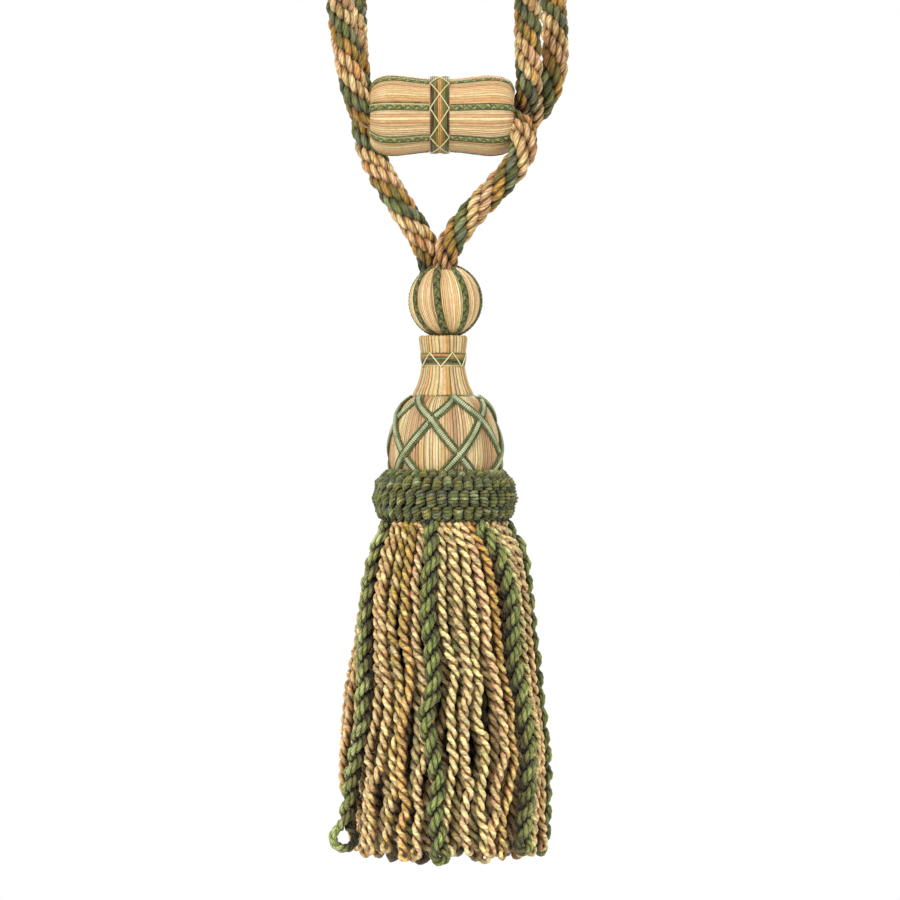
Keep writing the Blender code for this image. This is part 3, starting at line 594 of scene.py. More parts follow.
class Skein:
    """Yarns that are wound together into one piece."""

    def __init__(self, sides: int = 6, crease: float = 0.2, warmth: float = 0.35) -> None:
        """Start an empty skein.

        Args:
            sides: Sides of each yarn's section: 4, 6, 8, 10 or 12.
            crease: How much light the painted shade in the creases between yarns leaves.
            warmth: How much browner that painted shade is.
        """
        self.sides = sides
        self.crease = crease
        self.warmth = warmth
        self.yarns: list[Yarn] = []

    def wind(self, yarn: Yarn) -> None:
        """Add a yarn."""
        self.yarns.append(yarn)

    def mesh(self, name: str) -> bpy.types.Mesh:
        """Make the yarns a mesh of closed tubes, with their tints and the lay of their fibres.

        Args:
            name: The mesh's name.

        Returns:
            The mesh.
        """
        mesh = self._tubes(name)
        count = sum(len(yarn.path) for yarn in self.yarns) * self.sides
        assert len(mesh.vertices) == count, (name, len(mesh.vertices), count)
        places = np.empty(count * 3)
        mesh.vertices.foreach_get("co", places)
        places = places.reshape(-1, self.sides, 3)
        tints = np.empty((len(places), self.sides, 4))
        row = 0
        for yarn in self.yarns:
            end = row + len(yarn.path)
            places[row:end], tints[row:end, :, :3] = self._shaped(yarn, places[row:end])
            row = end
        tints[..., 3] = 1
        mesh.vertices.foreach_set("co", places.ravel())
        self._lay_fibres(mesh)
        self._close_ends(mesh)
        tint_points(mesh, tints)
        mesh.shade_smooth()
        return mesh

    def _tubes(self, name: str) -> bpy.types.Mesh:
        """Bevel a curve of one spline for each yarn, and turn it into a mesh.

        Args:
            name: The mesh's name.

        Returns:
            The mesh, its tubes open at their ends.
        """
        curve = bpy.data.curves.new(name, "CURVE")
        curve.dimensions = "3D"
        curve.bevel_depth = 1.0
        curve.bevel_resolution = (self.sides - 4) // 2
        for yarn in self.yarns:
            spline = curve.splines.new("POLY")
            spline.points.add(len(yarn.path) - 1)
            places = np.column_stack([yarn.path, np.ones(len(yarn.path))])
            spline.points.foreach_set("co", places.ravel())
            spline.points.foreach_set("radius", np.asarray(yarn.radius, float))
            spline.use_cyclic_u = yarn.closed
        guide = bpy.data.objects.new(name, curve)
        bpy.context.scene.collection.objects.link(guide)
        depsgraph = bpy.context.evaluated_depsgraph_get()
        mesh = bpy.data.meshes.new_from_object(guide.evaluated_get(depsgraph))
        bpy.data.objects.remove(guide, do_unlink=True)
        bpy.data.curves.remove(curve)
        mesh.name = name
        return mesh

    def _shaped(self, yarn: Yarn, rings: Array) -> tuple[Array, Array]:
        """Raise a yarn's lobes and colour its rings, with painted shade in the grooves between the lobes and
        towards its hearts.

        Args:
            yarn: The yarn.
            rings: Its rings of points.

        Returns:
            The points moved, and their colours.
        """
        light = np.ones(rings.shape[:2])
        if yarn.lobes:
            side = TURN * np.arange(self.sides) / self.sides
            turned = side - TURN * lengths(yarn.path)[:, None] / yarn.lobe_pitch
            crest = np.abs(np.cos(yarn.lobes * turned / 2))
            height = 1 - yarn.lobe_depth * (1 - crest)
            rings = yarn.path[:, None] + (rings - yarn.path[:, None]) * height[..., None]
            # Painted shade in the grooves between the lobes.
            light *= 1 - LOBE_SHADE * (1 - crest)
        # Painted shade: darken the points near each heart line.
        for heart in yarn.hearts:
            away = np.linalg.norm(rings - heart.path[:, None], axis=2)
            out = np.clip((away - heart.inner) / (heart.outer - heart.inner), 0, 1)
            light *= self.crease + (1 - self.crease) * out**HEART_CURVE
        shades = np.array([1.0, 1 + GREEN_WARMTH * self.warmth, 1 + self.warmth])
        limit = np.minimum(1, MOST_LIGHT / yarn.tint.max(axis=1, keepdims=True))
        return rings, (yarn.tint * limit)[:, None] * light[..., None] ** shades

    def _lay_fibres(self, mesh: bpy.types.Mesh) -> None:
        """Give the faces the yarns' own coordinates: millimetres along, and turns round.

        Each yarn starts elsewhere along the pattern, by whole turns of its lobes.

        Args:
            mesh: The tubes.
        """
        layer = mesh.uv_layers[0]
        layer.name = "lay"
        flat = np.empty(len(layer.uv) * 2, np.float32)
        layer.uv.foreach_get("vector", flat)
        flat = flat.reshape(-1, 2)
        row = 0
        for index, yarn in enumerate(self.yarns):
            rings = len(yarn.path) - (0 if yarn.closed else 1)
            end = row + rings * self.sides * 4
            shift = LOBE_SHIFT * abs(yarn.lobe_pitch) / MM if yarn.lobes else YARN_SHIFT
            flat[row:end, 0] = flat[row:end, 0] * lengths(yarn.path)[-1] / MM + shift * index
            row = end
        layer.uv.foreach_set("vector", flat.ravel())

    def _close_ends(self, mesh: bpy.types.Mesh) -> None:
        """Close the open ends of the tubes.

        Args:
            mesh: The tubes.
        """
        bm = bmesh.new()
        bm.from_mesh(mesh)
        rims = [edge for edge in bm.edges if edge.is_boundary]
        bmesh.ops.holes_fill(bm, edges=rims, sides=self.sides)
        bmesh.ops.recalc_face_normals(bm, faces=bm.faces)
        bm.to_mesh(mesh)
        bm.free()


# ---------------------------------------------------------------- skins of laid thread

@dataclass
class ThreadSkin:
    """Threads laid side by side over a turned form, from one end of it to the other.

    Attributes:
        profile: Rows of place along the axis and radius there, in metres, from the top down.
        threads: How many threads lie round the form.
        ridge: How far a thread stands up from the grooves beside it.
        dyes: The threads' dyes.
        patch: Degrees round the form over which the dyes change.
        seed: Which unevenness to draw.
        step: Distance between two rows of points.
        columns: Columns of points to a thread.
        parting: Share of the threads that part from the next with a dark gap of painted shade.
        streaks: Dyes of single threads that stand out.
        light: How light the threads are, as a share of their dyes.
        widths: Narrowest and widest thread, as shares of the usual one.
        wander: How far the threads move aside, as a share of one.
        faded: Length at both ends over which the threads sink into the form.
        crest: Shares of a thread's width between which its back rises.
        lifts: Lowest and highest thread, as shares of the ridge.
        shades: Darkest and lightest thread, as shares of its dye.
        dark_gaps: Least and most light that the painted shade in a dark gap leaves.
        pale_gaps: Least and most light that the painted shade in the other gaps leaves.
        contrast: How purely a thread shows one dye.
        odd: Share of the threads that take a streak's dye.
        odd_mix: How much of it they take.
        gap_tint: How much more light a gap's painted shade takes in red, green and blue.
        paling: How much lighter and darker a thread gets on its way, how far this starts past the last
            thread's, and over which length it goes.
    """

    profile: Sequence[tuple[float, float]]
    threads: int
    ridge: float
    dyes: Sequence[Dye]
    patch: float = 40.0
    seed: int = 1
    step: float = 0.9 * MM
    columns: int = 4
    parting: float = 0.2
    streaks: Sequence[Dye] = (Dye.APRICOT, Dye.TAN, Dye.GOLD, Dye.BARK)
    light: float = 1.0
    widths: tuple[float, float] = (0.75, 1.3)
    wander: float = 0.12
    faded: float = 2 * MM
    crest: tuple[float, float] = (0.16, 0.84)
    lifts: tuple[float, float] = (0.7, 1.2)
    shades: tuple[float, float] = (0.78, 1.12)
    dark_gaps: tuple[float, float] = (0.1, 0.22)
    pale_gaps: tuple[float, float] = (0.5, 0.85)
    contrast: float = 3.0
    odd: float = 0.17
    odd_mix: float = 0.55
    gap_tint: tuple[float, float, float] = (1.0, 1.18, 1.4)
    paling: tuple[float, float, float] = (0.1, 11 * MM, 20 * MM)

    def mesh(self, name: str, place: Matrix | None = None) -> bpy.types.Mesh:
        """Wrap a grid round the form and raise the threads in it.

        Args:
            name: The mesh's name.
            place: Where the form's own axis goes, if it isn't Z.

        Returns:
            The mesh.
        """
        line = smooth_line(np.array(self.profile), self.step, measured=2)
        rows, around = len(line) - 1, self.threads * self.columns
        bm = bmesh.new()
        bmesh.ops.create_grid(bm, x_segments=around, y_segments=rows, size=0.5)
        mesh = bpy.data.meshes.new(name)
        bm.to_mesh(mesh)
        flat = np.empty(len(mesh.vertices) * 3)
        mesh.vertices.foreach_get("co", flat)
        grid = flat.reshape(-1, 3)
        column = np.rint((grid[:, 0] + 0.5) * around).astype(int)
        row = np.rint((0.5 - grid[:, 1]) * rows).astype(int)
        draw = np.random.default_rng(self.seed)
        width = draw.uniform(*self.widths, self.threads)
        edge = np.concatenate([[0], np.cumsum(width)]) / width.sum() * TURN
        mesh.vertices.foreach_set("co", self._places(draw, edge, line, column, row).ravel())
        tint_points(mesh, self._tints(draw, edge, column, lengths(line)[row]))
        self._lay_fibres(mesh, column, lengths(line)[row])
        self._close(mesh, place)
        return mesh

    def _places(
        self, draw: np.random.Generator, edge: Array, line: Array, column: Array, row: Array,
    ) -> Array:
        """Places of the grid's points on the form.

        Args:
            draw: The skin's random draws.
            edge: Angle of each thread's edge.
            line: The profile's samples.
            column: Column of each point.
            row: Row of each point.

        Returns:
            The places.
        """
        thread, part = column // self.columns % self.threads, column % self.columns
        share = part / self.columns
        angle = edge[thread] + (edge[thread + 1] - edge[thread]) * share
        gone = lengths(line)
        angle = angle + self.wander * TURN / self.threads * drift(gone[row], self.seed, gone[-1])
        slope = unit(np.gradient(line, axis=0))
        fade = np.clip(np.minimum(gone, gone[-1] - gone) / self.faded, 0, 1)[row]
        crest = np.where(part == 0, 0.0, np.sin(math.pi * np.clip(share, *self.crest)))
        lift = self.ridge * crest * fade * draw.uniform(*self.lifts, self.threads)[thread]
        radius = line[row, 1] - slope[row, 0] * lift
        along = line[row, 0] + slope[row, 1] * lift
        return np.column_stack([radius * np.cos(angle), radius * np.sin(angle), along])

    def _tints(self, draw: np.random.Generator, edge: Array, column: Array, gone: Array) -> Array:
        """Colours of the grid's points, with painted shade in the gap at each thread's first column.

        Args:
            draw: The skin's random draws.
            edge: Angle of each thread's edge.
            column: Column of each point.
            gone: Distance along the profile of each point.

        Returns:
            The colours with alpha.
        """
        thread, part = column // self.columns % self.threads, column % self.columns
        shade = draw.uniform(*self.shades, self.threads)
        parted = draw.random(self.threads) < self.parting
        dark = draw.uniform(*self.dark_gaps, self.threads)
        gap = np.where(parted, dark, draw.uniform(*self.pale_gaps, self.threads))
        middles = np.degrees((edge[1:] + edge[:-1]) / 2)
        base = dyed(self.dyes, middles, self.seed, self.patch, self.contrast) * shade[:, None]
        streaks = np.array([dye.linear for dye in self.streaks])
        streak = streaks[draw.integers(0, len(streaks), self.threads)]
        share = np.where(draw.random(self.threads) < self.odd, self.odd_mix, 0.0)[:, None]
        base = np.minimum((base * (1 - share) + streak * share) * self.light, MOST_LIGHT)
        paler, shift, wave = self.paling
        pale = 1 + paler * drift(gone + shift * thread, self.seed + 5, wave)
        # Painted shade: each thread's first column, its gap to the last one, is darkened.
        light = (np.where(part == 0, gap[thread], 1.0) * pale)[:, None] ** np.array(self.gap_tint)
        return np.column_stack([base[thread] * light, np.ones(len(column))])

    def _lay_fibres(self, mesh: bpy.types.Mesh, column: Array, gone: Array) -> None:
        """Give the faces the threads' own coordinates: millimetres along, and threads counted round.

        Args:
            mesh: The skin.
            column: Column of each point.
            gone: Distance along the profile of each point.
        """
        layer = mesh.uv_layers.new(name="lay")
        corners = np.empty(len(mesh.loops), int)
        mesh.loops.foreach_get("vertex_index", corners)
        counted = column[corners].reshape(-1, 4) / self.columns
        flat = np.column_stack([gone[corners] / MM, counted.ravel() * 3])
        layer.uv.foreach_set("vector", flat.ravel().astype(np.float32))

    def _close(self, mesh: bpy.types.Mesh, place: Matrix | None) -> None:
        """Join the seam, close the ends and put the skin in its place.

        Args:
            mesh: The skin.
            place: Where the form's own axis goes, if it isn't Z.
        """
        bm = bmesh.new()
        bm.from_mesh(mesh)
        bmesh.ops.remove_doubles(bm, verts=bm.verts, dist=0.001 * MM)
        rims = [edge for edge in bm.edges if edge.is_boundary]
        bmesh.ops.holes_fill(bm, edges=rims, sides=0)
        if place:
            bmesh.ops.transform(bm, matrix=place, verts=bm.verts)
        bmesh.ops.recalc_face_normals(bm, faces=bm.faces)
        bm.to_mesh(mesh)
        bm.free()
        mesh.shade_smooth()


# ---------------------------------------------------------------- trimmings

@dataclass(frozen=True)
class Braid:
    """A narrow plait of three yarns that is laid along a line on a surface.

    Attributes:
        width: Width of the plait.
        period: Length on which a yarn crosses to the other edge and back.
        dyes: The three yarns' dyes.
        thickness: How far the yarns go up and down.
        yarn_share: Radius of a yarn, as a share of the width.
        inset: How far the yarns' lines keep in from the edges, in radii of a yarn.
        rise: How far they go up and down and how high they lie, as shares of the thickness.
        heart: Depth and reach of the painted shade under them, in radii of a yarn.
    """

    width: float
    period: float
    dyes: Sequence[Sequence[Dye]]
    thickness: float = 0.3 * MM
    yarn_share: float = 0.21
    inset: float = 0.9
    rise: tuple[float, float] = (0.45, 0.75)
    heart: tuple[float, float] = (0.6, 2.0)

    def lay(self, skein: Skein, path: Array, outward: Array, seed: int) -> None:
        """Add the plait's yarns to a skein.

        Args:
            skein: The skein.
            path: The line, on the surface.
            outward: The surface's outward direction at each point.
            seed: Which unevenness to draw.
        """
        gone = lengths(path)
        side = unit(np.cross(unit(np.gradient(path, axis=0)), outward))
        yarn_radius = self.width * self.yarn_share
        reach = self.width / 2 - yarn_radius * self.inset
        deep, wide = self.heart
        # Painted shade: the yarns darken towards a line under the plait.
        heart = Heart(path - outward * yarn_radius * deep, 0.0, yarn_radius * wide)
        swing, level = self.rise
        for index, dyes in enumerate(self.dyes):
            turn = TURN * (gone / self.period + index / len(self.dyes))
            wave = np.sin(turn)[:, None] * reach
            rise = (np.sin(2 * turn)[:, None] * swing + level) * self.thickness
            tint = dyed(dyes, gone, seed + index, 6 * MM)
            line = path + side * wave + outward * rise
            skein.wind(Yarn(line, np.full(len(path), yarn_radius), tint, [heart]))


@dataclass(frozen=True)
class Edging:
    """A thin two-ply cord beside a line on a surface.

    Attributes:
        away: How far to the side of the line it lies.
        radius: Its radius.
        dyes: Its dyes.
        groove: Depth of the grooves between its plies, as a share of the radius.
        lay_length: Length on which they go once round, in radii.
        rise: How far it lies off the surface, in radii.
    """

    away: float
    radius: float
    dyes: Sequence[Dye]
    groove: float = 0.4
    lay_length: float = 5.4
    rise: float = 0.6

    def lay(self, skein: Skein, path: Array, outward: Array, seed: int) -> None:
        """Add the cord to a skein.

        Args:
            skein: The skein.
            path: The line, on the surface.
            outward: The surface's outward direction at each point.
            seed: Which unevenness to draw.
        """
        side = unit(np.cross(unit(np.gradient(path, axis=0)), outward))
        skein.wind(Yarn(
            path + side * self.away + outward * self.radius * self.rise,
            np.full(len(path), self.radius),
            dyed(self.dyes, lengths(path), seed, 8 * MM),
            lobes=2, lobe_depth=self.groove, lobe_pitch=self.lay_length * self.radius,
        ))


def around_ring(radius: float, height: float, points: int) -> Array:
    """Points on a circle round Z."""
    angle = TURN * np.arange(points) / points
    return np.column_stack([radius * np.cos(angle), radius * np.sin(angle), np.full(points, height)])


def turned(path: Array, place: Matrix) -> Array:
    """Directions under the turn of a matrix."""
    return path @ np.array(place.to_3x3()).T


def moved(path: Array, place: Matrix) -> Array:
    """A path's points under a matrix."""
    return turned(path, place) + np.array(place.translation)


def hoop(
    path: Array, radius: float, dyes: Sequence[Dye], seed: int, patch: float,
    groove: float = 0.0, lay: float = 1.0,
) -> Yarn:
    """A yarn that goes once round and meets itself.

    Args:
        path: Its points.
        radius: Its radius.
        dyes: Its dyes.
        seed: Which patches to draw.
        patch: Length of the longest patches.
        groove: Depth of the grooves between its two plies, as a share of the radius.
        lay: Length on which they go once round.

    Returns:
        The yarn.
    """
    tint = dyed(dyes, lengths(path), seed, patch)
    return Yarn(
        path, np.full(len(path), radius), tint, closed=True,
        lobes=2 if groove else 0, lobe_depth=groove, lobe_pitch=lay,
    )


@dataclass(frozen=True)
class Band:
    """Threads wound side by side round a form, with zigzag stitches over them.

    Attributes:
        edges: Height of the edge that the first thread lies at, and of the other.
        radius: Radius that the threads lie on.
        points: Points of a thread.
        wraps: The threads' dyes.
        cover: Radius of a thread, as a share of its part of the band.
        patch: Length of the threads' longest patches.
        lay: Length on which their plies go once round.
        seed: Which patches to draw.
        starts: Angle of each stitch's first peak, in degrees.
        peaks: Peaks counted once round.
        stitch_radius: Radius that the stitches lie on.
        past: How far they reach past the edges.
        stitch: Radius of their thread.
        stitch_dyes: Their dyes.
        stitch_seed: Which patches of them to draw.
        stitch_patch: Length of the longest of them.
        stitch_parts: Points from one peak to the next.
        groove: Depth of the grooves between the threads' plies, as a share of the radius.
    """

    edges: tuple[float, float]
    radius: float
    points: int
    wraps: Sequence[Sequence[Dye]]
    cover: float
    patch: float
    lay: float
    seed: int
    starts: Sequence[float]
    peaks: int
    stitch_radius: float
    past: float
    stitch: float
    stitch_dyes: Sequence[Dye]
    stitch_seed: int
    stitch_patch: float = 30 * MM
    stitch_parts: int = 12
    groove: float = 0.25

    def mesh(self, name: str, place: Matrix) -> bpy.types.Mesh:
        """Wind the threads, lay the stitches and move both to their place.

        Args:
            name: The mesh's name.
            place: Where the form's own axis goes.

        Returns:
            The mesh.
        """
        skein = Skein(sides=8, crease=0.3)
        first, last = self.edges
        pitch = (last - first) / len(self.wraps)
        for index, dyes in enumerate(self.wraps):
            path = moved(around_ring(self.radius, first + (index + 0.5) * pitch, self.points), place)
            radius = abs(pitch) * self.cover
            skein.wind(hoop(path, radius, dyes, self.seed + index, self.patch, self.groove, self.lay))
        for start in self.starts:
            path = moved(self._zigzag(math.radians(start)), place)
            skein.wind(hoop(path, self.stitch, self.stitch_dyes, self.stitch_seed, self.stitch_patch))
        return skein.mesh(name)

    def _zigzag(self, start: float) -> Array:
        """A stitch that goes up and down round the form.

        Args:
            start: Angle of its first point, in radians.

        Returns:
            Its points.
        """
        parts, radius = self.stitch_parts, self.stitch_radius
        count = np.arange(self.peaks * parts)
        swing = np.abs((count / parts) % 1 - 0.5) * 4 - 1
        angle = start + TURN * count / (self.peaks * parts)
        reach = abs(self.edges[1] - self.edges[0]) / 2 + self.past
        height = sum(self.edges) / 2 + reach * swing
        return np.column_stack([radius * np.cos(angle), radius * np.sin(angle), height])


def put_on(
    name: str, mesh: bpy.types.Mesh, finish: ThreadFinish, slot: Slot, *nodes: str,
) -> bpy.types.Object:
    """Put a finished mesh in the scene as a piece of the tassel.

    Args:
        name: The piece's name.
        mesh: Its mesh, in place.
        finish: Its finish.
        slot: The record's slot for its finish. It is not used.
        nodes: The solids that it stands for.

    Returns:
        The piece.
    """
    piece = bpy.data.objects.new(name, mesh)
    bpy.context.scene.collection.objects.link(piece)
    mesh.materials.clear()
    mesh.materials.append(finish.material())
    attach(piece, "root")
    if nodes:
        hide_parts(*nodes)
    triangles = sum(len(face.vertices) - 2 for face in mesh.polygons)
    LOG.info("%s: %d triangles", name, triangles)
    return piece


# ---------------------------------------------------------------- ropes

@dataclass
class Rope:
    """A rope of four strands laid S, each strand of three yarns twisted Z.

    Attributes:
        name: The piece's name, which is its solid's too.
        route: Points it was laid through, each with its share of the full thickness.
        order: The dyes of each strand's three yarns, in the strands' order round the rope.
        start: Angle of the first strand at the route's first point, in degrees.
        diameter: Its full thickness.
        pitch: Length on which a strand goes once round the rope.
        strand_radius: Radius of a strand.
        strand_pitch: Length on which a yarn goes once round its strand.
        yarns: Yarns in a strand.
        yarn_radius: Radius of a yarn.
        uneven: How much thicker and thinner a yarn gets, as a share of its radius.
        wave: Length over which it does.
        patch: Length of a yarn's longest patches of one dye.
        offset: Angle by which each strand's yarns start past the last one's, in radians.
        step: Distance between two points of its line.
        hidden: Distances along the rope between which it is out of sight.
        hidden_turns: Turns by which its lay is tighter there.
        light: How light its yarns are, as a share of their dyes.
        core_dark: Shares of the rope's radius between which its yarns come out of the painted shade at the
            rope's middle.
        strand_dark: Shares of a strand's radius between which they come out of the painted shade at the
            strand's middle.
    """

    name: str
    route: Sequence[tuple[float, float, float, float]]
    order: Sequence[Sequence[Sequence[Dye]]]
    start: float
    diameter: float = 0.0115
    pitch: float = 0.032
    strand_radius: float = 0.00275
    strand_pitch: float = 0.0138
    yarns: int = 3
    yarn_radius: float = 0.0013
    uneven: float = 0.08
    wave: float = 22 * MM
    patch: float = 26 * MM
    offset: float = 0.5
    step: float = 0.0012
    hidden: tuple[float, float] = (0.0, 1.0)
    hidden_turns: float = 0.0
    light: float = 1.12
    core_dark: tuple[float, float] = (0.52, 0.93)
    strand_dark: tuple[float, float] = (-0.3, 0.9)

    def build(self) -> None:
        samples = smooth_line(np.array(self.route), self.step)
        centre, swell = Line(samples[:, :3]), samples[:, 3]
        skein = Skein(sides=12, crease=0.04, warmth=0.55)
        for index, dyes in enumerate(self.order):
            self._strand(skein, centre, swell, index, dyes)
        piece = put_on(self.name, skein.mesh(self.name), ROPE_YARN, Slot.ROPE, self.name)
        length = lengths(centre.path)[-1]
        LOG.info("%s: %.1f mm long", self.name, length / MM)

    def _strand(
        self, skein: Skein, centre: Line, swell: Array, index: int, dyes: Sequence[Sequence[Dye]],
    ) -> None:
        """Twist one strand's yarns together along its way round the rope.

        Args:
            skein: The rope's skein.
            centre: The rope's own line.
            swell: Share of the full thickness at each point.
            index: Which strand.
            dyes: The dyes of each of its yarns.
        """
        turn = math.radians(self.start) + TURN * index / len(self.order)
        turn = turn - TURN * self.hidden_turns * np.interp(lengths(centre.path), self.hidden, (0, 1))
        out = (self.diameter / 2 - self.strand_radius) * swell
        strand = Line(centre.twisted(out, self.pitch, Hand.S, turn))
        ring = (self.strand_radius - self.yarn_radius) * swell
        # Painted shade towards the rope's middle and each strand's middle.
        hearts = [
            Heart(centre.path, *(share * self.diameter / 2 for share in self.core_dark)),
            Heart(strand.path, *(share * self.strand_radius for share in self.strand_dark)),
        ]
        for yarn in range(self.yarns):
            seed = 100 * index + 7 * yarn + len(self.route)
            start = TURN * yarn / self.yarns + self.offset * index
            path = strand.twisted(ring, self.strand_pitch, Hand.Z, start)
            gone = lengths(path)
            radius = self.yarn_radius * swell * (1 + self.uneven * drift(gone, seed, self.wave))
            skein.wind(Yarn(path, radius, dyed(dyes[yarn], gone, seed, self.patch) * self.light, hearts))


GREEN_STRAND = (
    (Dye.MOSS, Dye.SLATE, Dye.FOREST), (Dye.SLATE, Dye.MOSS, Dye.SAGE), (Dye.FOREST, Dye.LEAF, Dye.MOSS),
)
GOLD_STRAND = (
    (Dye.GOLD, Dye.OLD_GOLD, Dye.APRICOT), (Dye.OLIVE, Dye.MOSS, Dye.OLD_GOLD),
    (Dye.OLD_GOLD, Dye.GOLD, Dye.OLIVE),
)
PEACH_STRAND = (
    (Dye.PEACH, Dye.ROSE, Dye.CREAM), (Dye.CREAM, Dye.PEACH, Dye.TAN), (Dye.ROSE, Dye.APRICOT, Dye.PEACH),
)
CREAM_STRAND = (
    (Dye.CREAM, Dye.IVORY, Dye.PEACH), (Dye.IVORY, Dye.GOLD, Dye.CREAM), (Dye.PEACH, Dye.CREAM, Dye.OLD_GOLD),
)


def main_rope() -> Rope:
    """The rope from the ball over the left loop, through the slide and back to the ball."""
    return Rope("rope_main", (
        # Out of the ball, up behind the slide's left end.
        (-0.0062, 0.004, -0.1406, 0.8),
        (-0.0062, 0.0041, -0.1354, 0.86),
        (-0.0072, 0.004, -0.13, 0.98),
        (-0.0108, 0.0026, -0.1228, 1),
        (-0.016, 0.0018, -0.1148, 1),
        (-0.0216, 0.0026, -0.106, 1),
        (-0.0262, 0.0058, -0.098, 1),
        (-0.0296, 0.01, -0.0908, 1),
        (-0.0318, 0.0128, -0.0836, 1),
        (-0.0328, 0.0134, -0.076, 1),
        (-0.034, 0.0116, -0.068, 1),
        (-0.0352, 0.0088, -0.06, 1),
        # Left hooking loop, from its back leg over the crown to its front leg.
        (-0.036, 0.0082, -0.053, 1),
        (-0.0366, 0.0106, -0.0444, 1),
        (-0.037, 0.016, -0.0361, 1),
        (-0.0371, 0.0209, -0.03, 1),
        (-0.0373, 0.024, -0.0183, 1),
        (-0.0378, 0.0208, -0.0063, 1),
        (-0.0384, 0.012, 0.0025, 1),
        (-0.0393, 0, 0.00575, 1),
        (-0.0402, -0.012, 0.0025, 1),
        (-0.041, -0.0208, -0.0063, 1),
        (-0.0415, -0.024, -0.0183, 1),
        (-0.0416, -0.0209, -0.03, 1),
        (-0.0412, -0.016, -0.0361, 1),
        (-0.0402, -0.0106, -0.0444, 1),
        (-0.0388, -0.0082, -0.053, 1),
        (-0.0372, -0.0076, -0.0616, 1),
        (-0.0354, -0.0064, -0.0692, 1),
        # Through the slide.
        (-0.0324, -0.0042, -0.0744, 1),
        (-0.0282, -0.0018, -0.0766, 1),
        (-0.022, -0.0002, -0.0762, 1),
        (-0.008, 0, -0.076, 1),
        (0.008, 0, -0.076, 1),
        (0.018, -0.0012, -0.0766, 1),
        # Over the right shoulder and down into the ball.
        (0.0256, -0.0042, -0.0786, 1),
        (0.029, -0.0067, -0.0807, 1),
        (0.0311, -0.0092, -0.084, 1),
        (0.0315, -0.0108, -0.0882, 1),
        (0.03, -0.0108, -0.0934, 1),
        (0.0258, -0.0088, -0.0998, 1),
        (0.0184, -0.006, -0.1078, 1),
        (0.0102, -0.0046, -0.1164, 1),
        (0.0046, -0.004, -0.1238, 1),
        (0.0017, -0.004, -0.1288, 0.98),
        (0.0005, -0.0039, -0.1338, 0.92),
        (0.0001, -0.0038, -0.1366, 0.84),
        (-0.0001, -0.0036, -0.1406, 0.8),
    ), (GREEN_STRAND, GOLD_STRAND, PEACH_STRAND, CREAM_STRAND), 67.0, hidden=(0.284, 0.32), hidden_turns=0.41)


def right_rope() -> Rope:
    """The rope of the right hooking loop, both ends in the slide's right end."""
    return Rope("rope_right", (
        # Out of the slide's right end and up the front leg.
        (0.0254, 0.0049, -0.0748, 0.6),
        (0.0289, 0.0048, -0.074, 0.68),
        (0.032, 0.0032, -0.071, 0.84),
        (0.0334, 0.0002, -0.066, 0.97),
        (0.0336, -0.0034, -0.06, 1),
        (0.0332, -0.0068, -0.0536, 1),
        # Right hooking loop.
        (0.0329, -0.0102, -0.0446, 1),
        (0.0327, -0.0154, -0.0361, 1),
        (0.0326, -0.0203, -0.03, 1),
        (0.0325, -0.0233, -0.0183, 1),
        (0.0333, -0.0202, -0.0063, 1),
        (0.0353, -0.0117, 0.0025, 1),
        (0.0381, 0, 0.00575, 1),
        (0.0409, 0.0117, 0.0025, 1),
        (0.0429, 0.0202, -0.0063, 1),
        (0.0437, 0.0233, -0.0183, 1),
        (0.0439, 0.0203, -0.03, 1),
        (0.0441, 0.0154, -0.0361, 1),
        # Down the back leg to the slide's end.
        (0.0443, 0.0106, -0.0446, 1),
        (0.0442, 0.0086, -0.053, 1),
        (0.043, 0.009, -0.061, 1),
        (0.0398, 0.011, -0.0684, 1),
        (0.0356, 0.0132, -0.0746, 0.97),
        (0.031, 0.0136, -0.0788, 0.84),
        (0.0276, 0.0124, -0.0802, 0.68),
        (0.025, 0.0116, -0.0805, 0.6),
    ), (GREEN_STRAND, CREAM_STRAND, PEACH_STRAND, GOLD_STRAND), 205.0)


# ---------------------------------------------------------------- slide

SILK_DYES = (Dye.CREAM, Dye.PEACH, Dye.IVORY, Dye.ROSE, Dye.APRICOT)
BRAID_DYES = ((Dye.FOREST, Dye.MOSS), (Dye.LEAF, Dye.SAGE), (Dye.FOREST, Dye.LEAF))
BALL_BRAID_DYES = ((Dye.FOREST, Dye.NIGHT), (Dye.LEAF, Dye.MOSS), (Dye.FOREST, Dye.MOSS))


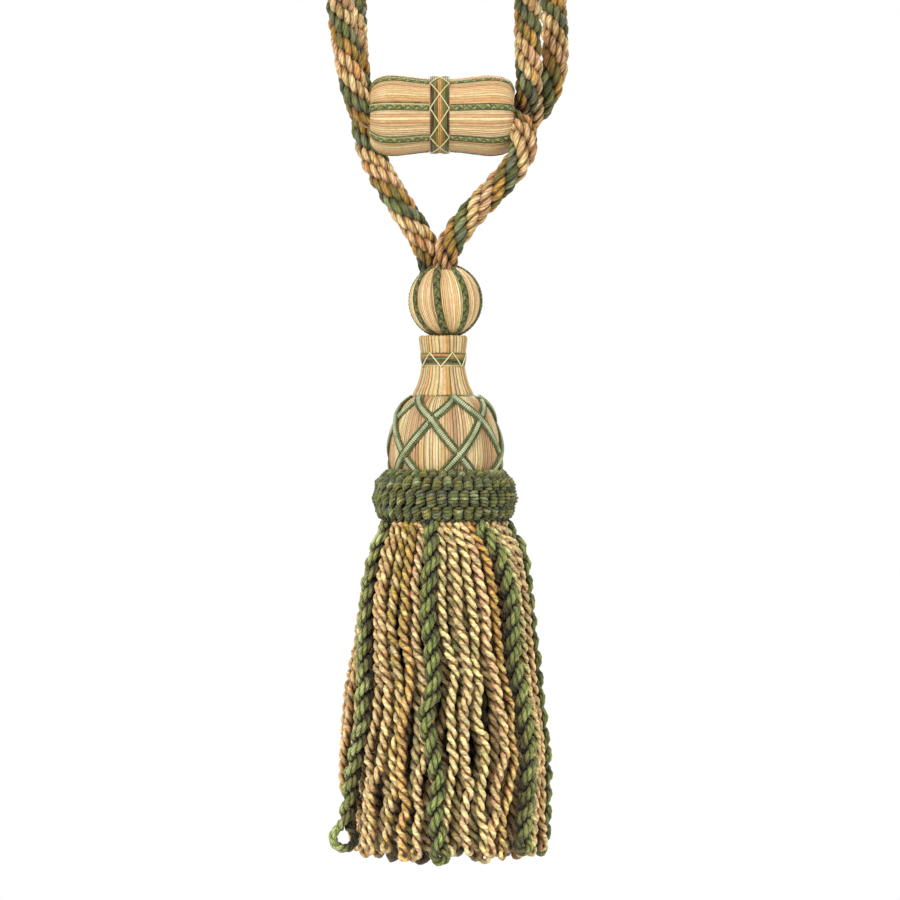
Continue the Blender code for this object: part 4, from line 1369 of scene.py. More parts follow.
@dataclass
class Slide:
    """The barrel that slides along the ropes: silk thread, seven braids and a stitched band.

    The form is turned round Z, its top the right end, and then laid along X.

    Attributes:
        centre: Where its middle lies.
        rows: Place along the form and radius there.
        threads: Threads of silk round it.
        ridge: How far they stand up.
        braids: Braids round it.
        braid_turn: Angle of the first braid on the form, in degrees.
        braid: One of the braids.
        band: The band round its waist.
        band_gap: How far the braids end from the band.
        edgings: Cords beside a braid on the right half and on the left.
    """

    centre: tuple[float, float, float] = (-0.0012, 0.0, -0.076)
    rows: Sequence[tuple[float, float]] = (
        (0.0236, 0.0040), (0.0272, 0.0072), (0.0284, 0.0104), (0.0276, 0.0129), (0.0256, 0.0146),
        (0.0224, 0.0155), (0.0184, 0.0157), (0.0130, 0.0151), (0.0070, 0.0144), (0.0, 0.0141),
        (-0.0070, 0.0144), (-0.0130, 0.0151), (-0.0184, 0.0157), (-0.0224, 0.0155),
        (-0.0256, 0.0145), (-0.0276, 0.0128), (-0.0284, 0.0104), (-0.0272, 0.0072), (-0.0236, 0.0040),
    )
    threads: int = 92
    ridge: float = 0.3 * MM
    braids: int = 7
    braid_turn: float = 6.0
    braid: Braid = Braid(1.9 * MM, 3.6 * MM, BRAID_DYES)
    band: Band = Band(
        edges=(-0.0046, 0.0028), radius=0.0147, points=120, wraps=(
            (Dye.BARK, Dye.UMBER), (Dye.UMBER, Dye.OLIVE), (Dye.OLIVE, Dye.MOSS), (Dye.OLD_GOLD, Dye.BARK),
            (Dye.GOLD, Dye.APRICOT), (Dye.APRICOT, Dye.GOLD), (Dye.OLD_GOLD, Dye.OLIVE),
            (Dye.MOSS, Dye.OLIVE), (Dye.FOREST, Dye.MOSS), (Dye.MOSS, Dye.UMBER),
        ), cover=0.62, patch=40 * MM, lay=3.2 * MM, seed=0, starts=(-5, 40), peaks=4, stitch_radius=0.01535,
        past=0.1 * MM, stitch=0.26 * MM, stitch_dyes=(Dye.CREAM, Dye.MIST), stitch_seed=5,
    )
    band_gap: float = 0.4 * MM
    edgings: Sequence[Sequence[Edging]] = (
        (
            Edging(-1.2 * MM, 0.26 * MM, (Dye.BARK, Dye.FOREST)),
            Edging(1.2 * MM, 0.26 * MM, (Dye.FOREST, Dye.NIGHT)),
        ), (
            Edging(-1.2 * MM, 0.26 * MM, (Dye.BARK, Dye.FOREST)),
            Edging(1.25 * MM, 0.3 * MM, (Dye.CREAM, Dye.MIST)),
            Edging(1.85 * MM, 0.38 * MM, (Dye.FOREST, Dye.OLIVE)),
        ),
    )

    def build(self) -> None:
        """Build the silk, the braids and the band."""
        place = self._place()
        silk = ThreadSkin(self.rows, self.threads, self.ridge, SILK_DYES, patch=30, seed=3, step=1.5 * MM)
        put_on("slide_silk", silk.mesh("slide_silk", place), SILK_THREAD, Slot.SILK, "slide")
        put_on("slide_braids", self._braids(place), BRAID_THREAD, Slot.GIMP)
        put_on("slide_band", self.band.mesh("slide_band", place), BAND_THREAD, Slot.BAND, "slide_band")

    def _place(self) -> Matrix:
        """Lay the form's Z along X, its X down and its Y to the back."""
        turn = Matrix(((0, 0, 1, 0), (0, 1, 0, 0), (-1, 0, 0, 0), (0, 0, 0, 1)))
        return Matrix.Translation(self.centre) @ turn

    def _braids(self, place: Matrix) -> bpy.types.Mesh:
        """Lay a green braid with its edgings along each of the seven lines.

        Args:
            place: Where the form's own axis goes.

        Returns:
            The mesh.
        """
        skein = Skein(sides=6, crease=0.24)
        line = smooth_line(np.array(self.rows), 0.48 * MM, measured=2)
        slope = unit(np.gradient(line, axis=0))
        left, right = self.band.edges
        halves = (line[:, 0] > right + self.band_gap, line[:, 0] < left - self.band_gap)
        for index in range(self.braids):
            angle = math.radians(self.braid_turn) + TURN * index / self.braids
            out = np.array([math.cos(angle), math.sin(angle)])
            for half, part in enumerate(halves):
                rows, lean = line[part], slope[part]
                path = np.column_stack([rows[:, 1:] * out, rows[:, 0]])
                outward = np.column_stack([-lean[:, :1] * out, lean[:, 1]])
                path, outward = moved(path, place), turned(outward, place)
                seed = 40 * index + 17 * half
                for trim in (self.braid, *self.edgings[half]):
                    trim.lay(skein, path, outward, seed)
        return skein.mesh("slide_braids")


# ---------------------------------------------------------------- ball and neck

@dataclass
class Ball:
    """The ball: silk thread from pole to pole and eight green braids, its axis a little tilted.

    Attributes:
        centre: Where its middle lies.
        radius: Its radius.
        tilt: How far it leans to the side, in degrees.
        threads: Threads of silk round it.
        ridge: How far they stand up.
        silk_top: Degrees above the middle at which the silk starts.
        braid_top: Degrees above the middle at which the braids start.
        foot: Degrees below the middle at which both end, in the neck.
        braids: Braids round it.
        braid_turn: How far the front braid stands to the side, in degrees.
        braid: One of the braids.
        edging: Place and radius of the thread at a braid's edges.
        dark_edge: Dyes of the edge thread on one side, and on the other at every second braid.
        pale_edge: Dyes of it at the braids between.
    """

    centre: tuple[float, float, float] = (0.0002, 0.0, -0.1504)
    radius: float = 0.0143
    tilt: float = -7.0
    threads: int = 104
    ridge: float = 0.26 * MM
    silk_top: float = 88.0
    braid_top: float = 80.0
    foot: float = -80.0
    braids: int = 8
    braid_turn: float = -12.0
    braid: Braid = Braid(2.3 * MM, 4.2 * MM, BALL_BRAID_DYES)
    edging: tuple[float, float] = (1.36 * MM, 0.26 * MM)
    dark_edge: Sequence[Dye] = (Dye.NIGHT, Dye.OLIVE, Dye.FOREST)
    pale_edge: Sequence[Dye] = (Dye.OLIVE, Dye.SAGE, Dye.CREAM)

    def build(self) -> None:
        """Build the silk and the braids."""
        dyes = (Dye.CREAM, Dye.PEACH, Dye.IVORY, Dye.APRICOT)
        place = Matrix.Translation(self.centre) @ Matrix.Rotation(math.radians(self.tilt), 4, "Y")
        silk = ThreadSkin(
            self._rows(self.silk_top), self.threads, self.ridge, dyes,
            patch=30, seed=11, step=1.5 * MM, parting=0.3, light=1.12,
        )
        put_on("ball_silk", silk.mesh("ball_silk", place), SILK_THREAD, Slot.SILK, "ball")
        put_on("ball_braids", self._braids(place), BRAID_THREAD, Slot.GIMP)

    def _rows(self, high: float) -> list[tuple[float, float]]:
        """The ball's profile, from so many degrees above its middle to the foot."""
        turns = np.radians(np.linspace(high, self.foot, 30))
        return [(self.radius * math.sin(turn), self.radius * math.cos(turn)) for turn in turns]

    def _braids(self, place: Matrix) -> bpy.types.Mesh:
        """Lay a braid with an edge thread at both sides down each of the eight lines.

        Args:
            place: The ball's middle and tilt.

        Returns:
            The mesh.
        """
        skein = Skein(sides=6, crease=0.24)
        away, thin = self.edging
        line = smooth_line(np.array(self._rows(self.braid_top)), 0.42 * MM, measured=2)
        for index in range(self.braids):
            angle = math.radians(self.braid_turn - 90) + TURN * index / self.braids
            out = np.array([math.cos(angle), math.sin(angle)])
            path = np.column_stack([line[:, 1:] * out, line[:, 0]])
            path, outward = moved(path, place), turned(unit(path), place)
            self.braid.lay(skein, path, outward, 50 * index)
            other = self.pale_edge if index % 2 else self.dark_edge
            Edging(away, thin, other).lay(skein, path, outward, index)
            Edging(-away, thin, self.dark_edge).lay(skein, path, outward, index + 9)
        return skein.mesh("ball_braids")


@dataclass
class Neck:
    """The neck: a collar and a flared skirt of laid threads, with a stitched band between.

    Attributes:
        centre_x: How far its axis stands to the side.
        rows: Height and radius of its outline.
        threads: Threads round it.
        ridge: How far they stand up.
        band: The band under the collar.
    """

    centre_x: float = -0.0007
    rows: Sequence[tuple[float, float]] = (
        (-0.1662, 0.0050), (-0.1650, 0.0074), (-0.1647, 0.0086), (-0.1652, 0.0092), (-0.1680, 0.0089),
        (-0.1708, 0.0085), (-0.1720, 0.0080), (-0.1760, 0.0080), (-0.1775, 0.0083), (-0.1800, 0.0087),
        (-0.1840, 0.0099), (-0.1874, 0.0115), (-0.1884, 0.0116), (-0.1884, 0.0104), (-0.1880, 0.0080),
    )
    threads: int = 38
    ridge: float = 0.46 * MM
    band: Band = Band(
        edges=(-0.1712, -0.1768), radius=0.0084, points=84, wraps=(
            (Dye.LEAF, Dye.FOREST), (Dye.APRICOT, Dye.GOLD), (Dye.GOLD, Dye.BARK), (Dye.SLATE, Dye.LEAF),
            (Dye.BARK, Dye.UMBER, Dye.MOSS), (Dye.MOSS, Dye.UMBER), (Dye.LEAF, Dye.SLATE),
            (Dye.GOLD, Dye.CREAM),
        ), cover=0.64, patch=22 * MM, lay=3.0 * MM, seed=60, starts=(-66,), peaks=6, stitch_radius=0.00905,
        past=0.0, stitch=0.27 * MM, stitch_dyes=(Dye.IVORY, Dye.MIST), stitch_seed=71,
    )

    def build(self) -> None:
        """Build the laid threads and the band."""
        dyes = (Dye.CREAM, Dye.PEACH, Dye.GOLD, Dye.IVORY)
        silk = ThreadSkin(
            self.rows, self.threads, self.ridge, dyes, patch=26, seed=21, step=0.6 * MM, parting=0.6,
        )
        place = Matrix.Translation((self.centre_x, 0, 0))
        put_on("neck_silk", silk.mesh("neck_silk", place), SILK_THREAD, Slot.SILK, "neck")
        put_on("neck_band", self.band.mesh("neck_band", place), BAND_THREAD, Slot.BAND, "neck_band")


# ---------------------------------------------------------------- dome

@dataclass
class Dome:
    """The dome: silk thread with a lattice of gimp sewn over it.

    Attributes:
        centre_x: How far its axis stands to the side.
        rows: Height and radius of its outline.
        threads: Threads of silk round it.
        ridge: How far they stand up.
        lines: Lines of the lattice in each direction.
        start: How far its front line stands to the side at the top, in degrees.
        crossings: Height, and degrees that a line has gone round by there.
        over: How far a line lies off the silk, and how much more or less where it crosses another.
        gimp: Radius of the gimp.
        gimp_rise: How far its own line lies above the lattice's.
        rib: Share of its radius that it loses between two ribs.
        ribs: Painted highlight on a rib and painted shade between two, as shares of its dyes.
        edging: Place and radius of the cords beside it.
        edge_dyes: Their dyes.
        round_turns: Samples over which a line's change of direction is rounded, out of all of them.
        near: Distance up and down on which the dome's slope is measured.
        collar: Radius and height of the cord round the top.
        collar_cord: Radius and lay of that cord.
    """

    centre_x: float = 0.0001
    rows: Sequence[tuple[float, float]] = (
        (-0.1885, 0.0060), (-0.1885, 0.0106), (-0.1893, 0.0130), (-0.1916, 0.0158), (-0.1944, 0.0177),
        (-0.1976, 0.0192), (-0.2020, 0.0206), (-0.2076, 0.0217), (-0.2120, 0.0221), (-0.2154, 0.0219),
        (-0.2184, 0.0210), (-0.2214, 0.0196), (-0.2260, 0.0180), (-0.2386, 0.0170), (-0.2390, 0.0080),
    )
    threads: int = 112
    ridge: float = 0.3 * MM
    lines: int = 6
    start: float = 14.0
    crossings: Sequence[tuple[float, float]] = ((-0.1895, -1), (-0.1979, 30), (-0.2120, 60), (-0.2215, 82))
    over: tuple[float, float] = (0.4 * MM, 0.35 * MM)
    gimp: float = 0.95 * MM
    gimp_rise: float = 0.45 * MM
    rib: float = 0.13
    ribs: tuple[float, float] = (1.16, 0.24)
    edging: tuple[float, float] = (1.5 * MM, 0.5 * MM)
    edge_dyes: Sequence[Dye] = (Dye.FOREST, Dye.MOSS, Dye.FOREST)
    round_turns: tuple[int, int] = (25, 130)
    near: float = 0.8 * MM
    collar: tuple[float, float] = (0.0116, -0.1886)
    collar_cord: tuple[float, float] = (0.62 * MM, 3.3 * MM)

    def build(self) -> None:
        """Build the silk and the lattice."""
        dyes = (Dye.CREAM, Dye.PEACH, Dye.IVORY, Dye.TAN)
        silk = ThreadSkin(
            self.rows, self.threads, self.ridge, dyes, patch=44, seed=31, step=1.9 * MM, parting=0.34,
        )
        place = Matrix.Translation((self.centre_x, 0, 0))
        put_on("dome_silk", silk.mesh("dome_silk", place), SILK_THREAD, Slot.SILK, "dome")
        put_on("dome_lattice", self._lattice(), GIMP_CORD, Slot.GIMP, "dome_lattice")

    def _line(self, hand: int, index: int) -> tuple[Array, Array]:
        """One line of the lattice.

        Args:
            hand: 1 for the lines that run down to the right, -1 for the others.
            index: Which line.

        Returns:
            Its points over the dome and the outward directions there.
        """
        heights, turns = np.array(self.crossings).T
        window, samples = self.round_turns
        height = np.linspace(heights[0], heights[-1], samples)
        turn = np.interp(-height, -heights, turns)
        kernel = np.hanning(window) / np.hanning(window).sum()
        turn = np.convolve(np.pad(turn, window // 2, "reflect", reflect_type="odd"), kernel, "valid")
        angle = np.radians(self.start - 90 + index * 360 / self.lines + hand * turn)
        along, radius = smooth_line(np.array(self.rows), 0.3 * MM, measured=2).T
        reach = np.interp(-height, -along, radius)
        upper = np.interp(-height - self.near, -along, radius)
        lower = np.interp(-height + self.near, -along, radius)
        slope = (upper - lower) / (2 * self.near)
        outward = unit(np.column_stack([np.cos(angle), np.sin(angle), -slope]))
        under = hand * np.cos(math.pi * np.interp(-height, -heights, (-0.2, 0.0, 1.0, 1.8)))
        lift = self.over[0] + self.over[1] * under
        path = np.column_stack([self.centre_x + reach * np.cos(angle), reach * np.sin(angle), height])
        path = path + outward * lift[:, None]
        even = smooth_line(np.column_stack([path, outward]), 0.4 * MM)
        return even[:, :3], unit(even[:, 3:])

    def _lattice(self) -> bpy.types.Mesh:
        """Lay the ribbed gimp of every line with a dark green cord at both sides.

        Returns:
            The mesh.
        """
        skein = Skein(sides=8, crease=0.3)
        away, thin = self.edging
        for hand in (1, -1):
            for index in range(self.lines):
                path, outward = self._line(hand, index)
                between = np.arange(len(path)) % 2
                tint = dyed((Dye.MIST, Dye.SAGE, Dye.MIST), lengths(path), 10 * index + hand + 1, 14 * MM)
                # Painted highlight on every other point, the ribs, and painted shade on the points between.
                tint = tint * np.where(between, self.ribs[1], self.ribs[0])[:, None]
                skein.wind(Yarn(path + outward * self.gimp_rise, self.gimp * (1 - self.rib * between), tint))
                for side, seed in ((-away, 3), (away, 7)):
                    cord = Edging(side, thin, self.edge_dyes)
                    cord.lay(skein, path[::2], outward[::2], 20 * index + hand + seed)
        ring = moved(around_ring(*self.collar, 110), Matrix.Translation((self.centre_x, 0, 0)))
        radius, lay = self.collar_cord
        skein.wind(hoop(ring, radius, (Dye.FOREST, Dye.LEAF), 7, 20 * MM, 0.4, lay))
        return skein.mesh("dome_lattice")


# ---------------------------------------------------------------- ruff

@dataclass
class Ruff:
    """The knotted ring: rows of knobs, each of a few yarns that arch sideways over a core.

    Attributes:
        heart_radius: Radius of the ring's own line.
        heart_height: Height of it.
        out: How far the ring's section reaches out from there.
        up: How far it reaches up and down.
        core: Share of that section that the core fills.
        columns: Knobs round the ring.
        rows: Rows of them.
        top: Degrees above the outside at which the first row starts.
        bottom: Degrees at which the last row ends.
        wraps: Yarns over a knob.
        yarn_radius: Radius of a yarn.
        arch: How far it stands up over the middle of a knob.
        sink: How deep its ends go down.
        crowd: Direction and width, in radians, of the place at the left where the knobs lean.
        lean: How far they lean there.
        dyes: The yarns' dyes.
        span: Share of a knob's width that a yarn spans to each side of its middle.
        points: Points of a yarn.
        slope: How quickly the arches get lower towards a knob's edge.
        loose: How far a yarn is off its place, as a share of a knob's width, and how far it leans,
            in radians.
        sizes: Smallest and largest yarn and arch, as shares of the usual one.
        shades: Darkest and lightest yarn, as shares of its dye.
        dark_ends: Share of its light that painted shade takes at a yarn's ends, where it goes down to the
            core.
        dark_edge: Share of it that painted shade would take right at a knob's edge.
    """

    heart_radius: float = 0.0206
    heart_height: float = -0.2288
    out: float = 0.0062
    up: float = 0.0092
    core: float = 0.9
    columns: int = 39
    rows: int = 5
    top: float = 84.0
    bottom: float = -88.0
    wraps: int = 5
    yarn_radius: float = 0.00068
    arch: float = 0.0019
    sink: float = 1.1 * MM
    crowd: tuple[float, float] = (-2.6, 0.75)
    lean: float = 0.2
    dyes: Sequence[Sequence[Dye]] = (
        (Dye.MOSS, Dye.OLIVE), (Dye.MOSS, Dye.SLATE), (Dye.OLIVE, Dye.SAGE), (Dye.LEAF, Dye.MOSS),
    )
    span: float = 0.43
    points: int = 7
    slope: float = 1.6
    loose: tuple[float, float] = (0.08, 0.03)
    sizes: tuple[float, float] = (0.85, 1.12)
    shades: tuple[float, float] = (0.66, 1.4)
    dark_ends: float = 0.98
    dark_edge: float = 0.9

    def build(self) -> None:
        """Build the core and the knobs."""
        # The core's near-black dyes are painted shade for the gaps between the knobs.
        core = ThreadSkin(
            self._core(), self.columns, 0.0, (Dye.NIGHT, Dye.UMBER),
            seed=41, step=3 * MM, columns=2, streaks=(Dye.NIGHT,),
        )
        put_on("ruff_core", core.mesh("ruff_core"), RUFF_YARN, Slot.RUFF, "ruff")
        put_on("ruff", self._knobs(), RUFF_YARN, Slot.RUFF)

    def _core(self) -> list[tuple[float, float]]:
        """Profile of the core, all the way round its section but for the side at the dome.

        Returns:
            Rows of height and radius.
        """
        turns = np.radians(np.linspace(105, -105, 26))
        heights = self.heart_height + self.up * self.core * np.sin(turns)
        return list(zip(heights, self.heart_radius + self.out * self.core * np.cos(turns)))

    def _knobs(self) -> bpy.types.Mesh:
        """Wind every knob of every row.

        Returns:
            The mesh.
        """
        skein = Skein(sides=6, warmth=0.2)
        count = self.rows * self.wraps
        tilts = np.radians(np.linspace(self.top, self.bottom, count))
        for place, tilt in enumerate(tilts):
            row, wrap = divmod(place, self.wraps)
            for column in range(self.columns):
                self._wrap(skein, tilt, row, column, wrap)
        return skein.mesh("ruff")

    def _wrap(self, skein: Skein, tilt: float, row: int, column: int, wrap: int) -> None:
        """Arch one yarn over a knob.

        Args:
            skein: The ruff's skein.
            tilt: The knob's place round the ring's section, in radians above the outside.
            row: The knob's row.
            column: The knob's column.
            wrap: Which of the knob's yarns.
        """
        seed = 1000 * row + 10 * column + wrap
        draw = np.random.default_rng(seed)
        pitch = TURN / self.columns
        loose, askew = self.loose
        middle = pitch * (column + 0.5 * (row % 2) + draw.uniform(-loose, loose))
        share = np.linspace(-1, 1, self.points)
        level = (wrap - (self.wraps - 1) / 2) / self.wraps
        height = self.arch * (1 - share**2) * (1 - self.slope * level**2) * draw.uniform(*self.sizes)
        height = height - self.sink * share**4
        place, wide = self.crowd
        left = math.exp(-((((middle - place) + math.pi) % TURN - math.pi) / wide) ** 2)
        lean = draw.uniform(-askew, askew) + self.lean * left
        angle = middle + share * pitch * self.span
        section = tilt + lean * share
        radius = self.heart_radius + (self.out + height) * np.cos(section)
        rise = self.heart_height + (self.up + height) * np.sin(section)
        path = np.column_stack([radius * np.cos(angle), radius * np.sin(angle), rise])
        dyes = self.dyes[int(draw.integers(0, len(self.dyes)))]
        tint = dyed(dyes, share * 4 * MM, seed, 9 * MM) * draw.uniform(*self.shades)
        # Painted shade at the yarn's ends and on the yarns at a knob's edges.
        ends = 1 - self.dark_ends * np.abs(share) ** 2.5
        tint = tint * (1 - self.dark_edge * (2 * level) ** 4) * ends[:, None]
        skein.wind(Yarn(path, np.full(len(share), self.yarn_radius) * draw.uniform(*self.sizes), tint))


# ---------------------------------------------------------------- skirt

@dataclass(frozen=True)
class CordKind:
    """A hanging cord: one yarn folded in two and twisted on itself, with an eye at the fold.

    Attributes:
        ply: Radius of the folded yarn.
        pitch: Length of one whole turn of the cord.
        eye: Radius of the eye's line.
        patch: Length of the longest patches of one dye.
        hand: The way the cord is twisted. Its yarns run the other way.
        yarns: Thinner yarns that the folded one is made of.
        yarn_pitch: Length on which they go once round each other.
        lobes: Threads that show round each of them.
        lobe_depth: Depth of the grooves between the threads, as a share of the radius.
        lobe_pitch: Length on which the threads go once round.
        apart: How far the folded yarn's two halves lie from the cord's line, in radii of the yarn.
        eye_step: Distance between two points of the eye.
        fold_dark: Distances from the cord's line between which it comes out of its painted shade, in radii.
        skirt_dark: How far inside the skirt a second line of painted shade lies, and the same two for it.
        yarn_dark: The same two for the painted shade of the thinner yarns, from the folded one's line.
    """

    ply: float
    pitch: float
    eye: float
    patch: float
    hand: Hand
    yarns: int = 1
    yarn_pitch: float = 1.0
    lobes: int = 0
    lobe_depth: float = 0.0
    lobe_pitch: float = 1.0
    apart: float = 0.94
    eye_step: float = 0.9 * MM
    fold_dark: tuple[float, float] = (-0.1, 1.45)
    skirt_dark: tuple[float, float, float] = (2.6, 2.0, 4.3)
    yarn_dark: tuple[float, float] = (0.1, 0.92)

    def hang(
        self, skein: Skein, heart: Array, side: Array, dyes: Sequence[Dye], seed: int,
        dim: float = 1.0, eye: float | None = None,
    ) -> None:
        """Twist one cord along its heart.

        Args:
            skein: The skein to add it to.
            heart: The cord's own line, from its root down.
            side: The direction that the eye opens in.
            dyes: Its dyes.
            seed: Which unevenness to draw.
            dim: How light it is, as a share of its dyes.
            eye: Radius of the eye's line, where it isn't the usual one.
        """
        line = Line(heart)
        apart = self.ply * self.apart
        start = line.start_for(side, self.pitch, self.hand)
        down = line.twisted(apart, self.pitch, self.hand, start)
        back = line.twisted(apart, self.pitch, self.hand, start + math.pi)[::-1]
        eye = eye or self.eye
        side, ahead = unit(down[-1] - heart[-1]), line.along[-1]
        centre = heart[-1] + ahead * math.sqrt(eye**2 - apart**2)
        first_turn = math.acos(apart / eye)
        steps = max(6, round(eye * (math.pi + 2 * first_turn) / self.eye_step))
        turn = np.linspace(first_turn, -math.pi - first_turn, steps)[1:-1]
        arc = centre + eye * (np.cos(turn)[:, None] * side - np.sin(turn)[:, None] * ahead)
        path = np.vstack([down, arc, back])
        around = np.vstack([heart, np.broadcast_to(centre, arc.shape), heart[::-1]])
        outward = unit(around * (1, 1, 0))
        inside, *reach = self.skirt_dark
        # Painted shade towards the cord's line and on the side that faces into the skirt.
        hearts = [
            Heart(around, *(share * self.ply for share in self.fold_dark)),
            Heart(around - outward * inside * self.ply, *(share * self.ply for share in reach)),
        ]
        self._ply(skein, path, hearts, dyes, seed, dim)

    def _ply(
        self, skein: Skein, path: Array, hearts: list[Heart], dyes: Sequence[Dye], seed: int, dim: float,
    ) -> None:
        """Lay the folded yarn, or the thinner yarns that it is made of.

        Args:
            skein: The skein to add it to.
            path: The folded yarn's own line.
            hearts: Lines towards which it darkens.
            dyes: Its dyes.
            seed: Which unevenness to draw.
            dim: How light it is, as a share of its dyes.
        """
        apart = 1 / math.sin(math.pi / self.yarns) if self.yarns > 1 else 0.0
        thin = self.ply / (1 + apart)
        strand = Line(path)
        # Painted shade between the thinner yarns too.
        if self.yarns > 1:
            hearts = [*hearts, Heart(path, *(share * self.ply for share in self.yarn_dark))]
        for yarn in range(self.yarns):
            turn = TURN * yarn / self.yarns
            lay = strand.twisted(thin * apart, self.yarn_pitch, Hand(-self.hand.value), turn)
            gone = lengths(lay)
            radius = thin * (1.02 + 0.08 * drift(gone, seed + 3 + yarn, 16 * MM))
            tint = dyed(dyes, gone, seed + 11 * yarn, self.patch) * dim
            skein.wind(Yarn(
                lay, radius, tint, hearts,
                lobes=self.lobes, lobe_depth=self.lobe_depth, lobe_pitch=self.lobe_pitch,
            ))


@dataclass(frozen=True)
class Row:
    """One row of bullion cords.

    Attributes:
        name: The piece's name.
        places: Where its cords hang, counted round the skirt from the front green cord.
        share: Share of the skirt's radius that it keeps.
        dim: How light its cords are, as a share of their dyes; the lower values of the rows further in are
            painted shade.
        sides: Sides of the yarns' sections.
        step: Distance between two points of a cord's own line.
        kind: The cords themselves.
        nodes: The solids that the piece stands for.
    """

    name: str
    places: Sequence[float]
    share: float
    dim: float
    sides: int
    step: float
    kind: CordKind
    nodes: Sequence[str] = ()


@dataclass
class Skirt:
    """The bullion skirt: rows of twisted cords, one behind the other, and eight thick green ones.

    Attributes:
        rows: Height, and radius at the left and the right.
        drifts: Height, and degrees that each green cord has moved round by there, from the front one on.
        sectors: Places round the skirt in the outer row.
        green_every: Places from one green cord to the next.
        green_turn: Direction of the front one's root, in degrees.
        inner_cords: Cords in the row behind the outer one.
        core_cords: Cords in the core, dimmed near black with painted shade.
        step: Distance between two points of an outer cord's line.
        top: Height of the cords' roots.
        bottom: Height that their lines end at.
        uneven: How far the ends are from that.
        sways: How far a cord sways round the axis at its middle, and how much more below, in radians.
        sway_below: Distance from the root at which it begins to sway more.
        loose_by: Distance from the root over which a cord comes loose.
        kinks: How far a bullion cord kinks from side to side, in radians round the axis.
        waves: Lengths over which a cord sways, kinks, and waves in and out.
        wavers: Millimetres that a cord waves in and out, that it stands in front of and behind its
            row in turn, and that it is drawn in.
        loop_cord: The green cord with the wide open eye.
        loop_eye: Radius of that eye's line.
        loop_end: Height that its cord ends at.
        loop_aside: How far its end is bent to the left, from which height and over which length.
        loop_clear: How far the bullion behind the eye is drawn in, so that one sees through it,
            from which height and over which length.
        loop_view: Direction of that bullion, in degrees, and its width.
        bullion: The bullion cords.
        bullion_width: How wide they are taken to be.
        bullion_turn: Degrees that their eyes turn to either side.
        green: The green cords.
        green_width: How wide they are taken to be.
        green_proud: Millimetres that each green cord stands outside the bullion.
        green_turns: Degrees that their eyes turn to either side.
        green_light: How light they are, as a share of their dyes, and how light the open one is.
        families: Sets of dyes, of which a bullion cord draws one.
        tape: Height and radius of the outline of the tape that the cords are sewn to.
    """

    rows: Sequence[tuple[float, float, float]] = (
        (-0.2410, 0.0260, 0.0270), (-0.2500, 0.0300, 0.0324), (-0.2640, 0.0336, 0.0342),
        (-0.2860, 0.0362, 0.0358), (-0.3080, 0.0410, 0.0382), (-0.3300, 0.0426, 0.0412),
        (-0.3520, 0.0416, 0.0416), (-0.3710, 0.0414, 0.0412),
    )
    drifts: Sequence[tuple[float, ...]] = (
        (-0.241, 0, 0, 0, 0, 0, 0, 0, -6), (-0.250, 3, 8, 4, 2, 2, 0, -4, -9),
        (-0.264, 1, 15, 8, 4, 4, 0, -7, -9), (-0.280, 2, 19, 11, 6, 4, -1, -9, -7),
        (-0.294, 6, 18, 12, 7, 5, -2, -10, 1), (-0.303, 8, 20, 13, 8, 5, -2, -11, 6),
        (-0.318, 5, 22, 14, 9, 5, -3, -12, 4), (-0.330, 8, 22, 14, 9, 5, -4, -13, 0),
        (-0.344, 8, 17, 13, 9, 5, -5, -15, -6), (-0.356, 7, 14, 12, 9, 5, -6, -16, -8),
        (-0.369, 9, 15, 12, 9, 5, -6, -16, -8),
    )
    sectors: int = 48
    green_every: int = 6
    green_turn: float = -103.0
    inner_cords: int = 42
    core_cords: int = 25
    step: float = 1.0 * MM
    top: float = -0.2385
    bottom: float = -0.3660
    uneven: float = 0.0026
    sways: tuple[float, float] = (0.036, 0.022)
    sway_below: float = 50 * MM
    loose_by: float = 40 * MM
    kinks: float = 0.02
    waves: tuple[float, float, float] = (100 * MM, 27 * MM, 110 * MM)
    wavers: tuple[float, float, float] = (0.5, 0.8, 0.5)
    loop_cord: int = 7
    loop_eye: float = 0.0044
    loop_end: float = -0.3602
    loop_aside: tuple[float, float, float] = (2.6 * MM, -0.346, 12 * MM)
    loop_clear: tuple[float, float, float] = (0.0062, -0.343, 14 * MM)
    loop_view: tuple[float, float] = (187.0, 17.0)
    bullion: CordKind = CordKind(
        ply=1.12 * MM, pitch=9.4 * MM, eye=1.65 * MM, patch=11 * MM, hand=Hand.S,
        lobes=2, lobe_depth=0.26, lobe_pitch=6.4 * MM,
    )
    bullion_width: float = 4.2 * MM
    bullion_turn: float = 60.0
    green: CordKind = CordKind(
        ply=1.95 * MM, pitch=15.5 * MM, eye=2.5 * MM, patch=30 * MM, hand=Hand.Z,
        yarns=3, yarn_pitch=9.5 * MM,
    )
    green_width: float = 5.6 * MM
    green_proud: Sequence[float] = (2.2, 2.2, 0.6, 1.4, 2.2, 2.2, 0.1, 2.0)
    green_turns: float = 35.0
    green_light: tuple[float, float] = (1.92, 1.8)
    families: Sequence[Sequence[Dye]] = (
        (Dye.CREAM, Dye.ROSE, Dye.IVORY),
        (Dye.OLD_GOLD, Dye.OLIVE, Dye.IVORY),
        (Dye.CREAM, Dye.IVORY, Dye.TAN),
        (Dye.ROSE, Dye.TAN, Dye.IVORY, Dye.CREAM),
        (Dye.CREAM, Dye.ROSE, Dye.MIST),
        (Dye.TAN, Dye.OLD_GOLD, Dye.CREAM, Dye.OLIVE),
        (Dye.IVORY, Dye.CREAM, Dye.SAGE),
    )
    tape: Sequence[tuple[float, float]] = (
        (-0.2375, 0.0100), (-0.2375, 0.0160), (-0.2378, 0.0205), (-0.2390, 0.0220), (-0.2404, 0.0218),
        (-0.2410, 0.0205), (-0.2410, 0.0160), (-0.2410, 0.0100),
    )

